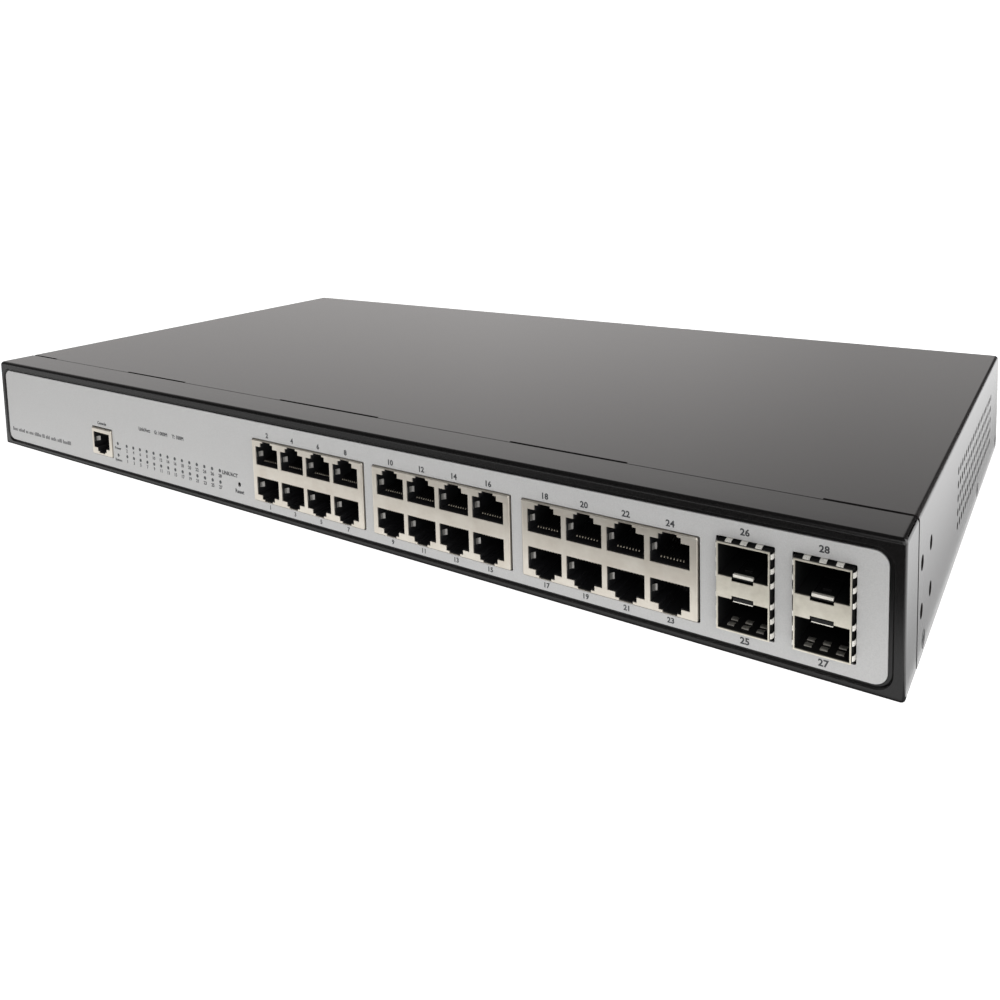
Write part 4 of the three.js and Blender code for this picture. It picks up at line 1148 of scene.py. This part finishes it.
def makeScrews(name, spots, turns, finish, replaced, body):
    tree, given, exits = startTree(name, {"Scale": 1.0, "Material": None})
    source = addNode(tree, "GeometryNodeObjectInfo", {"Object": body}).outputs["Geometry"]
    heads = scatter(tree, given["Geometry"], source, Rotation=named(tree, "turn"), Scale=given["Scale"])
    endTree(tree, heads, given, exits)
    piece = grow(placesPiece(name, spots, {"turn": turns}), tree, {"Scale": 1.0}, finishes[finish])
    shadeSmooth(piece, 35)
    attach(piece, "chassis")
    if replaced:
        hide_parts(*replaced)


def makeAllScrews():
    draw, quarter, sunk = random.Random(11), math.pi / 2, screws["sunk"]
    flush = screwBody(**screws["flush"])
    spots, turns, replaced = [], [], []
    for label, side in (("left", -1), ("right", 1)):
        for index, y in enumerate(cover["sideScrews"]):
            spots.append((side * (halfWidth - sunk), frontY + y, cover["sideScrewZ"]))
            spin = draw.uniform(0, 1.5)  # the same turn twice keeps the head facing straight out
            turns.append((spin, side * quarter, side * spin))
            replaced.append(f"cover_screw_{label}_{index + 1}")
    for index, x in enumerate(cover["rearScrews"]):
        spots.append((x, rearY - sunk, cover["rearScrewZ"]))
        turns.append((-quarter, draw.uniform(0, 1.5), 0.0))
        replaced.append(f"cover_screw_rear_{index + 1}")
    makeScrews("coverScrews", spots, turns, "blackScrew", replaced, flush)
    inletX, inletZ = (sum(c[i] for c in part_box("power_inlet")) / 2 / mm for i in (0, 2))
    spots = [(inletX + side * screws["inletReach"], rearY - sunk, inletZ) for side in (-1, 1)]
    turns = [(-quarter, 0.4, 0.0), (-quarter, 1.1, 0.0)]
    makeScrews("inletScrews", spots, turns, "zinc", ["inlet_screw_1", "inlet_screw_2"], flush)
    drop(flush)
    lip = screwBody(**screws["lip"])
    spots = [(x, seamY - bezel["lipScrewInset"], 0.02) for x in bezel["lipScrewX"]]
    makeScrews("lipScrews", spots, [(math.pi, 0.0, 0.0)] * len(spots), "blackScrew", [], lip)
    drop(lip)
    print("screws made")


groundMark = {"x": -108.0, "z": 12.0, "stem": 2.6, "bars": ((2.6, 0.0), (1.7, -1.0), (0.8, -2.0)),
              "line": 0.42, "depth": (-0.02, 0.03)}


def makeGroundMark():  # earth symbol beside its screw
    mark, wall = Parts(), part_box("base_tray")[1].y / mm
    back, front = (wall + out for out in groundMark["depth"])
    x, z, half = groundMark["x"], groundMark["z"], groundMark["line"] / 2
    mark.prism(bar(x - half, x + half, z, z + groundMark["stem"]), back, front)
    for reach, rise in groundMark["bars"]:
        mark.prism(bar(x - reach, x + reach, z + rise - half, z + rise + half), back, front)
    piece = mark.piece("groundMark", finishes["whiteInk"], fixNormals=True)
    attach(piece, "chassis")


# what stays as it is in the frame, in its own finish

nodeFinishes = {
    "base_tray": "charcoal", "port_housing_": "plastic", "console_housing": "plastic", "sfp_cage_": "cage",
    "sfp_connector_": "plastic", "sfp_latch_": "latch", "light_guide": "guide", "reset_switch": "plastic",
    "reset_plunger": "plastic", "main_board": "board", "board_screw_": "zinc", "power_board": "board",
    "switch_chip": "plastic", "switch_heatsink": "fins", "port_magnetics_": "plastic",
    "power_transformer": "tape", "bulk_capacitor": "sleeve", "power_heatsink": "fins", "dc_harness": "wire",
    "insulating_sheet": "guide", "power_inlet": "plastic", "inlet_pin_": "zinc", "ground_screw": "zinc",
}


def dressNodes():
    for name, node in nodes.items():
        for start, finish in nodeFinishes.items():
            if name.startswith(start):
                for slot in node.material_slots:
                    slot.material = finishes[finish]


makeBezel()
makePlate()
makePrint()
makeLenses()
makeCover()
makeJacks()
fingerTree = makeFingerTree()
for number, middle in enumerate(cageCentres):
    makeGasket(number + 1, middle, fingerTree)
makeFloorSprings(fingerTree)
print("cages made")
makeAllScrews()
makeGroundMark()
dressNodes()
print("frame dressed")
